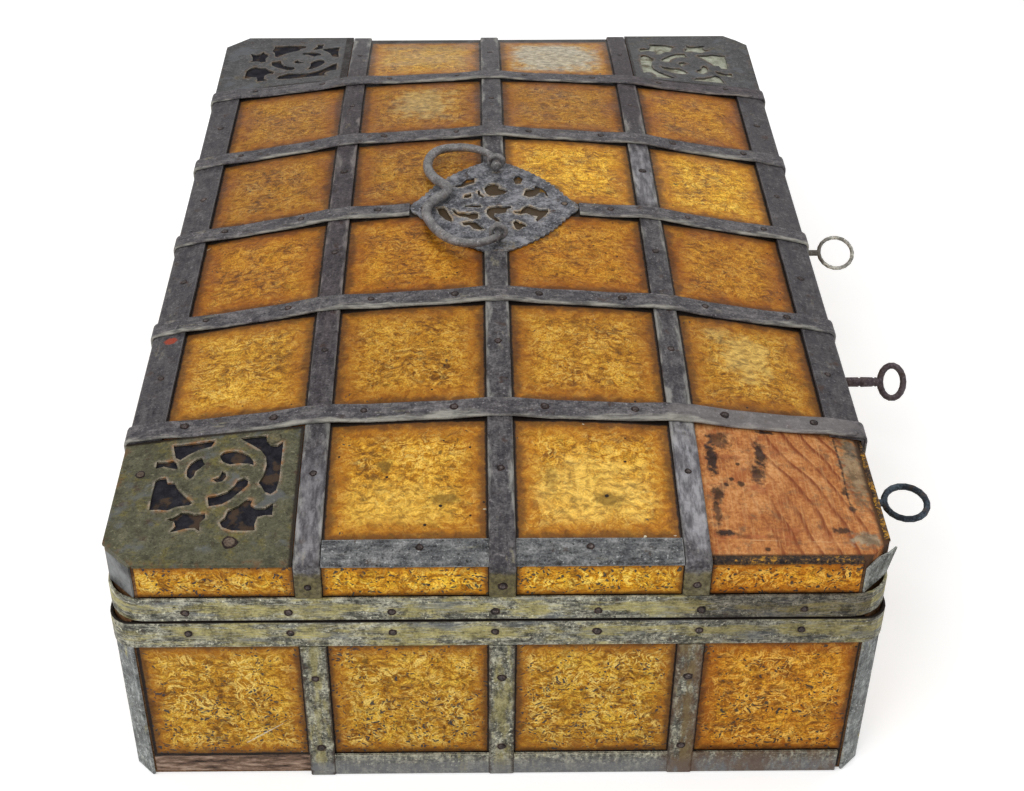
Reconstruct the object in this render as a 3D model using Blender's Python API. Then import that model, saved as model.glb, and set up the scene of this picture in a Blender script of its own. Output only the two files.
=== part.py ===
"""Iron-bound wooden casket with a domed lid, three locks and a bail handle.

Metres, +Z up. The origin is the middle of the underside. +X is the front, where the keys stand,
-X is the hinge side, and +Y runs along the length of the box.
"""
import math

import bmesh
import bpy
from mathutils import Matrix, Vector

# Driving dimensions of the wooden box
BOX_WIDTH = 0.4295
BOX_LENGTH = 0.643
BASE_HEIGHT = 0.128
LID_EDGE_HEIGHT = 0.0408
DOME_RISE = 0.0288
DOME_POWER_X = 1.9
DOME_POWER_Y = 2.65
LID_CANT = 0.015
BASE_CANT = 0.009
WALL_BOARD = 0.018
BOTTOM_BOARD = 0.015
LID_RAIL = 0.020
LID_BOARD_EDGE = 0.0115
DOME_STEP = 0.036
STRAP_STEP = 0.036
STRIP_STEP = 0.060
PLATE_STEP = 0.034

# Sheet, strap iron and the clearance between pieces that rest on each other
TIN = 0.0005
IRON = 0.0016
GAP = 0.0003
CUT_PAST = 0.01

# Straps, bands and strips
STRAP_WIDTH = 0.0148
STRAP_BEVEL = 0.0007
STRAP_RAMP = 0.005
TOP_RAMP = 0.022
LONG_STRAP_PITCH = 0.10625
LONG_STRAP_SHIFT = 0.002
CROSS_STRAP_PITCH = 0.10667
CROSS_STRAP_SHIFT = 0.001
BASE_BAND_HEIGHT = 0.0190
LID_BAND_HEIGHT = 0.0165
BAND_PARTING = 0.0006
BASE_BAND_RADIUS = 0.012
LID_BAND_RADIUS = 0.020
BOTTOM_STRIP_HEIGHT = 0.0165
UPRIGHT_EXTRA = 0.0006
CORNER_STRAP_OVERLAP = 0.0015
FLOOR_CLEARANCE = 0.0004
EDGE_STRAP_WIDTH = 0.0188
EDGE_STRAP_DROP = 0.010
NEAR_STRIP_WIDTH = 0.0140
NEAR_STRIP_DROP = 0.0002
FIT = 0.0004
EDGE_INSET = 0.002
TIN_FOOT = 0.002
TORN_FLARE = 0.004
TORN_FLARE_START = 0.55

# Corner plates and handle plate
PLATE = 0.0012
PLATE_LIP = 0.0002
FOLD_STEP = 0.0001
HANDLE_PLATE_HALF_X = 0.0575
HANDLE_PLATE_HALF_Y = 0.0585
HANDLE_LOBE_RADIUS = 0.0105
NOTCH_PITCH = 0.0048
NOTCH_DEPTH = 0.0012
HANDLE_EDGE_BULGE = 0.0055
MILLIMETRE = 0.001

# Handle
BAIL_PIVOT_X = 0.0037
BAIL_PIVOT_NEAR_Y = -0.044
BAIL_PIVOT_FAR_Y = 0.049
BAIL_WIRE = 0.0036
BAIL_DROOP = 4.0
# Course of each lobe, from the near pivot round to the waist between the lobes, and on to the far pivot
BAIL_NEAR_LOBE = (
    (0, 0), (0, -0.0030), (-0.0006, -0.0060), (-0.0059, -0.0100), (-0.0143, -0.0122), (-0.0226, -0.0111),
    (-0.0310, -0.0062), (-0.0387, 0.0034), (-0.0448, 0.0162), (-0.0480, 0.0280), (-0.0473, 0.0379),
    (-0.0427, 0.0457), (-0.0366, 0.0517), (-0.0336, 0.0582),
)
BAIL_FAR_LOBE = (
    (-0.0359, -0.0276), (-0.0413, -0.0208), (-0.0463, -0.0105), (-0.0483, 0.0005), (-0.0467, 0.0130),
    (-0.0409, 0.0214), (-0.0318, 0.0239), (-0.0227, 0.0232), (-0.0136, 0.0195), (-0.0064, 0.0130),
    (-0.0025, 0.0072), (-0.0002, 0.0034), (0, 0),
)
# Knob on each end of the bail: distance past the pivot, and radius
BAIL_KNOB = ((0.0085, 0.0016), (0.0078, 0.0034), (0.0058, 0.0041), (0.0038, 0.0034), (0.0030, 0.0024))
EYE_WIRE = 0.0019
EYE_HOLE = 0.0029
EYE_CLINCH = 0.012

# Hinges
HINGE_PIN_RADIUS = 0.0021
HINGE_RUNNING_GAP = 0.0001
HINGE_SIDE_GAP = 0.0003
HINGED_STRAPS = (1, 3)
KNUCKLE_NECK = 0.001
TAIL_OVERLAP = 0.003
PIN_HEAD_RADIUS = 0.0032
PIN_HEAD = 0.0014
PIN_CROWN = 0.0004

# Locks and keys
KEY_HEIGHT = 0.0685
KEY_SHANK = 0.0030
KEY_BIT_REACH = 0.0120
KEY_BIT_LENGTH = 0.0100
KEY_BIT_THICK = 0.0030
KEYHOLE_PLAY = 0.0008
KEY_BIT_SETBACK = 0.002
KEY_COLLAR_START = 0.016
KEY_COLLAR_PITCH = 0.0085
KEY_COLLAR = 0.0022
LOCK_DEPTH = 0.024
LOCK_PLATE = 0.0015
LOCK_HALF_WIDTH = 0.043
LOCK_BOTTOM = 0.0485
LOCK_TOP = 0.1225
BOLT_THICK = 0.005
BOLT_HEIGHT = 0.005
BOLT_Z = 0.108
BOLT_TRAVEL = 0.012
BOLT_FOOT_DEPTH = 0.022
BOLT_FOOT_WIDTH = 0.022
HOOK_WIDTH = 0.012
HOOK_BAR = 0.002
HOOK_TOE = 0.010
KEEPER_HEIGHT = 0.014
KEEPER_RAISE = 0.004
KEEPER_END = 0.045
HOOK_TOE_THICK = 0.003
HOOK_PLAY = 0.0025
BOLT_OVERTRAVEL = 0.0015
BOLT_TAIL_END = 0.003
BOLT_HOOK_CLEARANCE = 0.0025
TALON_DEPTH = 0.003

# Each key: cell along the front, offset from the middle of that cell, bow centre out from the front
# board, bow half width and half height, bow wire radius, turn from upright, and collars on the shank
KEYS = {
    "near": dict(cell="first", offset=0.0, reach=0.05435, bow=(0.0140, 0.0140), wire=0.00225,
                 turn=81.0, collars=0),
    "middle": dict(cell="second", offset=0.025, reach=0.07165, bow=(0.0084, 0.0117), wire=0.00235,
                   turn=36.0, collars=3),
    "far": dict(cell="fourth", offset=-0.017, reach=0.06125, bow=(0.0134, 0.0134), wire=0.00155,
                turn=57.0, collars=1),
}

# Sizes that follow from the ones above
HALF_W = BOX_WIDTH / 2
HALF_L = BOX_LENGTH / 2
LID_BOTTOM = BASE_HEIGHT + GAP
LID_EDGE = BASE_HEIGHT + LID_EDGE_HEIGHT
LID_BOARD_BOTTOM = LID_EDGE - LID_BOARD_EDGE
TIN_OUT = GAP + TIN
IRON_IN = TIN_OUT + GAP
OVER_IRON = IRON + GAP
BASE_BAND_TOP = BASE_HEIGHT - BAND_PARTING / 2
BASE_BAND_BOTTOM = BASE_BAND_TOP - BASE_BAND_HEIGHT
LID_BAND_BOTTOM = LID_BOTTOM + BAND_PARTING
LID_BAND_TOP = LID_BAND_BOTTOM + LID_BAND_HEIGHT
PARTING_Z = (BASE_BAND_TOP + LID_BAND_BOTTOM) / 2
LONG_STRAPS = [LONG_STRAP_SHIFT + LONG_STRAP_PITCH * step for step in (-1, 0, 1)]
CROSS_STRAPS = [CROSS_STRAP_SHIFT + CROSS_STRAP_PITCH * step for step in (-2, -1, 0, 1, 2)]
LID_TIN_INSET = LID_CANT + CORNER_STRAP_OVERLAP + GAP
BASE_TIN_INSET = BASE_CANT + CORNER_STRAP_OVERLAP + GAP
HANDLE_CENTRE_Y = (BAIL_PIVOT_NEAR_Y + BAIL_PIVOT_FAR_Y) / 2
KNUCKLE_IN = HINGE_PIN_RADIUS + HINGE_RUNNING_GAP
KNUCKLE_OUT = KNUCKLE_IN + IRON
KNUCKLE_ROOT = KNUCKLE_OUT + KNUCKLE_NECK
HINGE_X = -(HALF_W + IRON_IN + OVER_IRON + KNUCKLE_OUT)
BOARD_INNER_X = HALF_W - WALL_BOARD
LOCK_OPEN_X = BOARD_INNER_X - GAP
LOCK_BACK_X = LOCK_OPEN_X - LOCK_DEPTH
KEEPER_X = HALF_W - LID_RAIL - GAP
BOLT_X = KEEPER_X - HOOK_BAR - BOLT_THICK / 2 - BOLT_HOOK_CLEARANCE

OLIVE_IRON = ("olive_iron", (0.17, 0.17, 0.13, 1), 0.55, 0.8)
GREY_IRON = ("grey_iron", (0.15, 0.15, 0.17, 1), 0.5, 0.85)
BRIGHT_STEEL = ("bright_steel", (0.45, 0.44, 0.40, 1), 0.35, 1.0)
BROWN_IRON = ("brown_iron", (0.10, 0.075, 0.085, 1), 0.55, 0.8)
BLUED_STEEL = ("blued_steel", (0.06, 0.08, 0.11, 1), 0.4, 0.9)
AMBER_TIN = ("amber_tin", (0.55, 0.29, 0.035, 1), 0.4, 0.4)
PINE = ("pine", (0.55, 0.29, 0.15, 1), 0.75, 0.0)


def finish_material(finish):
    """One plain material for each finish, made when it is first asked for."""
    name, colour, roughness, metallic = finish
    material = bpy.data.materials.get(name)
    if material is None:
        material = bpy.data.materials.new(name)
        material.use_nodes = True
        shader = material.node_tree.nodes["Principled BSDF"]
        shader.inputs["Base Color"].default_value = colour
        shader.inputs["Roughness"].default_value = roughness
        shader.inputs["Metallic"].default_value = metallic
    return material


def mesh_from(work, name):
    """Turn a finished bmesh into a mesh with its faces pointing out."""
    bmesh.ops.recalc_face_normals(work, faces=work.faces)
    mesh = bpy.data.meshes.new(name)
    work.to_mesh(mesh)
    work.free()
    return mesh


def add_object(name, mesh, finish=None):
    """Put a mesh into the scene; a shape with no finish is a cutter or a blank."""
    piece = bpy.data.objects.new(name, mesh)
    bpy.context.scene.collection.objects.link(piece)
    if finish is None:
        piece.hide_render = True
        piece.display_type = "WIRE"
    else:
        piece.data.materials.append(finish_material(finish))
    return piece


def combine(name, first, others, operation):
    """Fuse meshes with a first one, or cut them out of it, and give the resulting mesh."""
    blank = add_object(name + "_blank", first)
    tools = []
    for number, mesh in enumerate(others):
        tool = add_object(f"{name}_tool_{number}", mesh)
        tools.append(tool)
        change = blank.modifiers.new(f"step_{number}", "BOOLEAN")
        change.operation = operation
        change.solver = "EXACT"
        change.object = tool
    depsgraph = bpy.context.evaluated_depsgraph_get()
    result = bpy.data.meshes.new_from_object(blank.evaluated_get(depsgraph))
    for piece in tools + [blank]:
        bpy.data.objects.remove(piece)
    result.materials.clear()
    return result


def fuse(name, meshes):
    return combine(name, meshes[0], meshes[1:], "UNION")


def cut(name, mesh, cutters):
    return combine(name, mesh, cutters, "DIFFERENCE")


def prism(name, outline, start, end, axis="Z"):
    """Extrude a closed outline along an axis; outline points are the other two axes in X, Y, Z order."""
    def place(point, level):
        a, b = point
        return {"X": (level, a, b), "Y": (a, level, b), "Z": (a, b, level)}[axis]
    work = bmesh.new()
    face = work.faces.new([work.verts.new(place(point, start)) for point in outline])
    grown = bmesh.ops.extrude_face_region(work, geom=[face])
    lifted = [part for part in grown["geom"] if isinstance(part, bmesh.types.BMVert)]
    shift = Vector(place((0, 0), end)) - Vector(place((0, 0), start))
    bmesh.ops.translate(work, verts=lifted, vec=shift)
    return mesh_from(work, name)


def block(name, low, high):
    outline = [(low[0], low[1]), (high[0], low[1]), (high[0], high[1]), (low[0], high[1])]
    return prism(name, outline, low[2], high[2])


def canted_outline(half_x, half_y, cant):
    """Rectangle about the origin with its four corners cut off."""
    outline = []
    for sign_x, sign_y in ((1, -1), (1, 1), (-1, 1), (-1, -1)):
        along_y = (sign_x * half_x, sign_y * (half_y - cant))
        along_x = (sign_x * (half_x - cant), sign_y * half_y)
        outline += [along_x, along_y] if sign_x * sign_y < 0 else [along_y, along_x]
    return outline


def rounded_outline(half_x, half_y, radius, steps=6):
    """Rectangle about the origin with round corners."""
    outline = []
    for quarter, (sign_x, sign_y) in enumerate(((1, -1), (1, 1), (-1, 1), (-1, -1))):
        for step in range(steps + 1):
            angle = math.radians(-90 + 90 * quarter + 90 * step / steps)
            x = sign_x * (half_x - radius) + radius * math.cos(angle)
            y = sign_y * (half_y - radius) + radius * math.sin(angle)
            outline.append((x, y))
    return outline


def loft(name, rings, closed=False):
    """Skin a row of equal rings of points; an open row gets flat ends."""
    work = bmesh.new()
    loops = [[work.verts.new(point) for point in ring] for ring in rings]
    pairs = list(zip(loops, loops[1:]))
    if closed:
        pairs.append((loops[-1], loops[0]))
    count = len(loops[0])
    for one, two in pairs:
        for here in range(count):
            there = (here + 1) % count
            work.faces.new((one[here], one[there], two[there], two[here]))
    if not closed:
        work.faces.new(loops[0])
        work.faces.new(loops[-1])
    return mesh_from(work, name)


def ring_band(name, outline_in, outline_out, bottom, top):
    """A band: two outlines with as many points each, joined over a height."""
    rings = []
    for inner, outer in zip(outline_in, outline_out):
        rings.append([(*inner, bottom), (*outer, bottom), (*outer, top), (*inner, top)])
    return loft(name, rings, closed=True)


def dome(x, y):
    """Height of the wooden lid's top."""
    across = max(0.0, 1 - abs(x / HALF_W) ** DOME_POWER_X)
    along = max(0.0, 1 - abs(y / HALF_L) ** DOME_POWER_Y)
    return LID_EDGE + DOME_RISE * across * along


def spaced(start, end, largest):
    """Even stations from start to end, none further apart than the largest step."""
    count = max(1, math.ceil(abs(end - start) / largest - 1e-6))
    return [start + (end - start) * step / count for step in range(count + 1)]


def through(stops, largest):
    """Stations that pass through every stop, filled in to the largest step."""
    stations = []
    for start, end in zip(stops, stops[1:]):
        stations += spaced(start, end, largest)[:-1]
    return stations + [stops[-1]]


X_LINES = through([-HALF_W, LONG_STRAPS[0], LONG_STRAPS[2], HALF_W], DOME_STEP)
Y_LINES = through([-HALF_L, CROSS_STRAPS[0], CROSS_STRAPS[4], HALF_L], DOME_STEP)


def domed_sheet(name, x_lines, y_lines, low, high, keep=lambda x, y: True):
    """Solid between two heights over the dome, on a grid; keep says which cells are there.

    low may be a height over the dome, or None for the flat underside of the lid board, made as one face.
    """
    work = bmesh.new()

    def corner(cache, x, y, level):
        if (x, y) not in cache:
            height = LID_BOARD_BOTTOM if level is None else dome(x, y) + level
            cache[(x, y)] = work.verts.new((x, y, height))
        return cache[(x, y)]

    under, over = {}, {}
    edges = {}
    for x0, x1 in zip(x_lines, x_lines[1:]):
        for y0, y1 in zip(y_lines, y_lines[1:]):
            if not keep((x0 + x1) / 2, (y0 + y1) / 2):
                continue
            cell = [(x0, y0), (x1, y0), (x1, y1), (x0, y1)]
            for half in (cell[:3], [cell[0], cell[2], cell[3]]):
                work.faces.new([corner(over, *point, high) for point in half])
                if low is not None:
                    work.faces.new([corner(under, *point, low) for point in reversed(half)])
            for a, b in zip(cell, cell[1:] + cell[:1]):
                edges[(a, b)] = (b, a) not in edges
                if not edges[(a, b)]:
                    edges[(b, a)] = False
    for (a, b), outside in edges.items():
        if outside:
            work.faces.new((over[b], over[a], corner(under, *a, low), corner(under, *b, low)))
    if low is None:
        rim = [edge for edge in work.edges if edge.is_boundary]
        bmesh.ops.contextual_create(work, geom=rim)
    return mesh_from(work, name)


def cant_cutters(name, low, high):
    """Four wedges that take off the corners of the box between two heights."""
    reach = LID_CANT * 2
    wedges = []
    for sign_x in (1, -1):
        for sign_y in (1, -1):
            outline = [
                (sign_x * (HALF_W - LID_CANT - reach), sign_y * (HALF_L + reach)),
                (sign_x * (HALF_W + reach), sign_y * (HALF_L - LID_CANT - reach)),
                (sign_x * (HALF_W + reach), sign_y * (HALF_L + reach)),
            ]
            wedges.append(prism(name, outline, low, high))
    return wedges


def slope(function, at, step=1e-4):
    return (function(at + step) - function(at - step)) / (2 * step)


def strap_section(width, thickness):
    """Strap cross-section as (across, up) pairs, with its two upper edges bevelled."""
    half = width / 2
    shoulder = thickness - STRAP_BEVEL
    return [(-half, 0), (half, 0), (half, shoulder), (half - STRAP_BEVEL, thickness),
            (STRAP_BEVEL - half, thickness), (-half, shoulder)]


def lid_strap(name, direction, middle, stations):
    """Strap bent over the lid.

    direction is "X" for a strap across the lid and "Y" for one along it, and middle is its place on the
    other axis. A station is (kind, value, lift): a "top" value is a place along the strap, an "edge" value
    is the share of the bend over the box's edge (negative at the low edge), and a "side" value is a height
    on the face past that edge, whose sign is given by a fourth entry.
    """
    half = HALF_W if direction == "X" else HALF_L
    rings = []
    for kind, value, lift, *side in stations:
        ring = []
        for across, up in strap_section(STRAP_WIDTH, IRON):
            def height(along, across=across):
                other = middle + across
                return dome(along, other) if direction == "X" else dome(other, along)
            out = IRON_IN + lift + up
            if kind == "top":
                lean = slope(height, value)
                size = math.hypot(1, lean)
                along = value - lean / size * out
                z = height(value) + out / size
            elif kind == "edge":
                sign = math.copysign(1, value)
                lean = slope(height, sign * (half - 1e-3))
                start = math.atan2(1, -lean * sign)
                angle = start * (1 - abs(value))
                along = sign * (half + math.cos(angle) * out)
                z = LID_EDGE + math.sin(angle) * out
            else:
                along = side[0] * (half + out)
                z = value
            other = middle + across
            ring.append((along, other, z) if direction == "X" else (other, along, z))
        rings.append(ring)
    return loft(name, rings)


def top_stations(start, end, bumps):
    """Stations over the top from start to end, lifted over the bumps (low, high, lift)."""
    stops = {start, end}
    for low, high, _ in bumps:
        for stop in (low - TOP_RAMP, low, high, high + TOP_RAMP):
            if start < stop < end:
                stops.add(stop)
    stations = []
    for place in through(sorted(stops), STRAP_STEP):
        lift = 0.0
        for low, high, rise in bumps:
            nearness = 1 - max(low - place, place - high, 0) / TOP_RAMP
            lift = max(lift, rise * min(1, nearness))
        stations.append(("top", place, lift))
    return stations


BEND = (0.08, 0.4, 0.7, 1.0)


def edge_stations(sign, lift, side):
    """Bend over an edge, then the (height, lift) stops down the side, listed from the top outwards."""
    stations = [("edge", sign * share, lift) for share in BEND]
    stations += [("side", height, rise, sign) for height, rise in side]
    return stations


def angle_strip(name, direction, sign, start, end, width, drop):
    """Strip bent over one edge of the lid: a flange on top and a lip down the side, along the edge."""
    half = HALF_W if direction == "Y" else HALF_L
    bend = (0.25, 0.5, 0.75)
    rings = []
    for along in through([start, end], STRIP_STEP):
        def height(across):
            return dome(across, along) if direction == "Y" else dome(along, across)
        ring = []
        for out in (IRON_IN, IRON_IN + IRON):
            line = []
            inner = half - width
            lean = slope(height, sign * inner) * sign
            for place in (inner, half - width / 2, half - EDGE_INSET):
                line.append((place - lean * out, height(sign * place) + out))
            for share in bend:
                angle = math.radians(90 * (1 - share))
                line.append((half + math.cos(angle) * out, LID_EDGE + math.sin(angle) * out))
            line.append((half + out, LID_EDGE - drop))
            ring += line if out == IRON_IN else line[::-1]
        if direction == "Y":
            rings.append([(sign * across, along, z) for across, z in ring])
        else:
            rings.append([(along, sign * across, z) for across, z in ring])
    return loft(name, rings)


def knuckle_finger(name, low_y, high_y, straight_end):
    """Rolled hinge eye: a ring round the pin and a straight tail that runs up or down into its strap."""
    steps = 16
    outer, inner = [], []
    rise = math.copysign(1, straight_end - PARTING_Z)
    for step in range(steps + 1):
        angle = math.radians(320 * step / steps) * -rise
        outer.append((HINGE_X + KNUCKLE_OUT * math.cos(angle), PARTING_Z + KNUCKLE_OUT * math.sin(angle)))
        inner.append((HINGE_X + KNUCKLE_IN * math.cos(angle), PARTING_Z + KNUCKLE_IN * math.sin(angle)))
    tail_out = (HINGE_X + KNUCKLE_OUT, straight_end)
    tail_in = (HINGE_X + KNUCKLE_IN, straight_end)
    outline = [tail_out] + outer + inner[::-1] + [tail_in]
    return prism(name, outline, low_y, high_y, axis="Y")


def knuckle_spans(middle):
    """Places along the pin of the lid's two fingers and of the base's finger between them."""
    width = (STRAP_WIDTH - 2 * HINGE_SIDE_GAP) / 3
    start = middle - STRAP_WIDTH / 2
    low = (start, start + width)
    centre = (low[1] + HINGE_SIDE_GAP, low[1] + HINGE_SIDE_GAP + width)
    high = (centre[1] + HINGE_SIDE_GAP, middle + STRAP_WIDTH / 2)
    return low, centre, high


def lock_place(key):
    """Place along the front of a key's lock: the middle of its cell between straps, and its offset."""
    spec = KEYS[key]
    cell = ("first", "second", "third", "fourth").index(spec["cell"])
    return (CROSS_STRAPS[cell] + CROSS_STRAPS[cell + 1]) / 2 + spec["offset"]


def keyhole_outline(place):
    """Round hole with the slot for the bit under it, as (Y, Z) points."""
    radius = KEY_SHANK + KEYHOLE_PLAY
    slot = KEY_BIT_THICK / 2 + KEYHOLE_PLAY
    foot = KEY_HEIGHT - KEY_BIT_REACH - KEYHOLE_PLAY
    start = math.asin(slot / radius)
    outline = [(place + slot, foot)]
    for step in range(17):
        angle = -math.pi / 2 + start + (2 * math.pi - 2 * start) * step / 16
        outline.append((place + radius * math.cos(angle), KEY_HEIGHT + radius * math.sin(angle)))
    return outline + [(place - slot, foot)]


def keyhole_cutters(name):
    start = BOARD_INNER_X - CUT_PAST
    end = HALF_W + CUT_PAST
    return [prism(name, keyhole_outline(lock_place(key)), start, end, axis="X") for key in KEYS]


def turned(name, profile, steps, axis_matrix=Matrix.Identity(4)):
    """Revolve (radius, height) points about Z; the profile starts and ends on the axis."""
    work = bmesh.new()
    points = [work.verts.new((radius, 0, height)) for radius, height in profile]
    rows = [work.edges.new(pair) for pair in zip(points, points[1:])]
    bmesh.ops.spin(work, geom=points + rows, cent=(0, 0, 0), axis=(0, 0, 1), angle=2 * math.pi,
                   steps=steps, use_merge=True)
    bmesh.ops.remove_doubles(work, verts=work.verts, dist=1e-6)
    bmesh.ops.transform(work, matrix=axis_matrix, verts=work.verts)
    return mesh_from(work, name)


def tube(name, points, radii, sides=8, closed=False):
    """Round bar along a row of points, with a radius at each point."""
    points = [Vector(point) for point in points]
    rings = []
    normal = None
    for index, point in enumerate(points):
        before = points[index - 1] if index or closed else point
        after = points[(index + 1) % len(points)] if index + 1 < len(points) or closed else point
        along = (after - before).normalized()
        if normal is None:
            normal = along.orthogonal().normalized()
        normal = (normal - along * normal.dot(along)).normalized()
        side = along.cross(normal)
        ring = []
        for step in range(sides):
            angle = 2 * math.pi * step / sides
            ring.append(point + (normal * math.cos(angle) + side * math.sin(angle)) * radii[index])
        rings.append(ring)
    return loft(name, rings, closed)


def smooth_route(points, per_span=4):
    """Points along a Catmull-Rom curve through the given points."""
    padded = [points[0]] + list(points) + [points[-1]]
    route = []
    for a, b, c, d in zip(padded, padded[1:], padded[2:], padded[3:]):
        for step in range(per_span):
            t = step / per_span
            route.append(tuple(
                0.5 * (2 * q + (r - p) * t + (2 * p - 5 * q + 4 * r - s) * t * t
                       + (3 * q - p - 3 * r + s) * t ** 3)
                for p, q, r, s in zip(a, b, c, d)))
    return route + [tuple(points[-1])]


# Openings of a corner plate, in millimetres from the middle of its pierced square, as they lie on the
# near back plate. The other plates have the same pattern, turned.
CORNER_OPENINGS = (
    ((-29, 36.2), (-16.5, 35.7), (-4, 36.7), (-6, 31.2), (-12.5, 29.5), (-18.5, 26), (-23, 22),
     (-26, 24.2), (-27.7, 30.5)),
    ((-36.8, 22.5), (-30.5, 21.6), (-26.8, 22.4), (-24.7, 19), (-23.5, 14), (-28, 15.7), (-32, 17.7),
     (-36.8, 16.5)),
    ((-35.3, 6), (-33, 8), (-29.3, 7.7), (-28.1, 3.5), (-24, 3), (-21, -3), (-16.5, -9), (-11.5, -14.5),
     (-13, -16.3), (-20.5, -17.3), (-25, -19.8), (-30.5, -18.6), (-35.5, -18.5), (-35.7, -6)),
    ((-13, 21.7), (-10.2, 22), (-9.2, 18.5), (-7.7, 16.7), (-10.5, 13.5), (-13, 11), (-13.3, 7.5),
     (-15.3, 5), (-17.5, 7.5), (-18.2, 13), (-16.5, 18)),
    ((-0.3, 22.5), (2, 25.5), (7.5, 26), (13, 24), (17.5, 20.5), (20, 16), (20.5, 12.5), (17.5, 14),
     (12, 15), (6.5, 14.5), (2.5, 17), (1, 19.5)),
    ((2.5, 9.7), (4.8, 8), (5.5, 4.5), (3.5, 1.2), (0.5, 0.7), (-2.5, 3.3), (1, 4.7), (2.2, 7)),
    ((-3.5, -10.5), (2, -9.8), (7.5, -7.5), (11, -3), (12.5, 1.2), (16, 2.7), (18.5, 1), (18.5, -3),
     (15, -7.5), (10, -13.5), (5, -17.2), (-2, -18.2)),
    ((10.5, 36.4), (25.9, 36.8), (26.3, 32.5), (29, 28.4), (33, 27.5), (36.2, 30.5), (36.2, 0),
     (35, -8.5), (32, -11.2), (28.5, -9), (26.3, -4.5), (24.5, -1.8), (26.7, 3.5), (28, 12), (27, 18.5),
     (23.5, 24.5), (18, 29.5), (13, 33.5)),
    ((-24.5, -27), (-20.5, -25.5), (-17, -22), (-13.5, -22.2), (-9, -24), (-3.5, -23), (-2.8, -27),
     (-5.5, -30.5), (-5, -37), (-8, -34.5), (-13, -34.8), (-17.5, -36.3), (-21.5, -37.3), (-18.8, -32.5),
     (-20, -29)),
    ((8, -27.5), (9.2, -22), (14.5, -19), (19, -14), (22.5, -14.8), (21.5, -18.5), (25, -21.3),
     (30, -21.5), (34.3, -17.8), (34.3, -26.8), (30, -26.7), (26.2, -27.8), (25, -33), (25.5, -37.5),
     (19.5, -37.6), (12.5, -37.3), (7.2, -34.5), (5.3, -30.5)),
)
# Each corner plate: signs of its corner, middle of its pierced square, and quarter turns of the pattern
CORNER_PLATES = {
    "near_back": dict(corner=(-1, -1), middle=(-0.1595, -0.2620), turns=0),
    "far_back": dict(corner=(-1, 1), middle=(-0.1585, 0.2710), turns=-1),
    "far_front": dict(corner=(1, 1), middle=(0.1605, 0.2655), turns=2),
}
# Openings of the handle plate, in millimetres from its middle
HANDLE_OPENINGS = (
    ((13.5, 33.5), (15, 39), (18, 39.5), (20.5, 35), (18.5, 28.5), (15, 27.5)),
    ((-7, 21.5), (-4.5, 27), (0, 28.7), (3.5, 27), (3, 23), (6.5, 21), (10, 18.5), (7, 14.5), (2, 12),
     (-3, 11.5), (-5.5, 15)),
    ((20, 12.5), (24, 10.3), (28, 12), (31, 16.5), (34.3, 17.5), (36.2, 12), (37.4, 13), (35.8, 19.5),
     (32, 25), (28.5, 26.5), (28, 23), (22, 21)),
    ((-5.5, -7.5), (-3, -3), (1, -1.7), (7, -2.2), (11, -1.5), (11.5, -4.5), (8.5, -6), (7.5, -10.5),
     (3, -12), (0, -11.5), (-0.5, -14.5), (3, -19.5), (3.5, -22.5), (1, -22), (-3.5, -16.5), (-5.5, -12)),
    ((19.5, -4), (22.5, -0.2), (26, -2), (31, -5), (36.5, -4.5), (36.5, -8), (34.5, -12.5), (31, -18),
     (28.5, -21.5), (27.5, -19), (29, -14.5), (24.5, -13.5), (21.5, -11), (18, -12.3), (13.5, -11),
     (13, -8.5), (17.5, -8.5)),
    ((12, -23.5), (14, -20), (16, -21.5), (16.5, -24), (18, -23), (20.5, -25), (21, -28.5), (18.5, -29),
     (16.5, -32.5), (14, -32), (13, -28.5)),
    ((-23, 28.5), (-19, 35.5), (-13.5, 36.5), (-13.5, 29.5), (-18, 27), (-22.5, 24), (-27, 24.5), (-27, 27)),
    ((-21, 9.5), (-20.5, 13.5), (-16, 15.5), (-15.5, 12), (-18, 9)),
    ((-11.7, 18.5), (-10, 19.5), (-9.5, 14.5), (-6.5, 10.5), (-7.5, 9.3), (-11, 12)),
    ((-20.5, -1), (-15, 0.9), (-9.5, -0.3), (-8.5, -3), (-12, -4), (-16.5, -3), (-20, -3)),
    ((-29.5, -5), (-27, -5.5), (-25, -10), (-21, -9.5), (-18, -11), (-14, -9.5), (-11, -11),
     (-11.5, -18), (-15, -19.5), (-19, -16), (-23, -15), (-27, -11.5)),
    ((-39.5, -2.5), (-35, -1.5), (-32.5, -5.5), (-31, -11.5), (-29, -16.5), (-29.2, -22), (-33.5, -18),
     (-37.5, -11.5)),
    ((-22.5, -22.5), (-17, -21), (-13, -22), (-9.5, -27.5), (-7, -31), (-10, -32.5), (-14.5, -31),
     (-17, -26.3), (-21, -26.3)),
)


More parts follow.
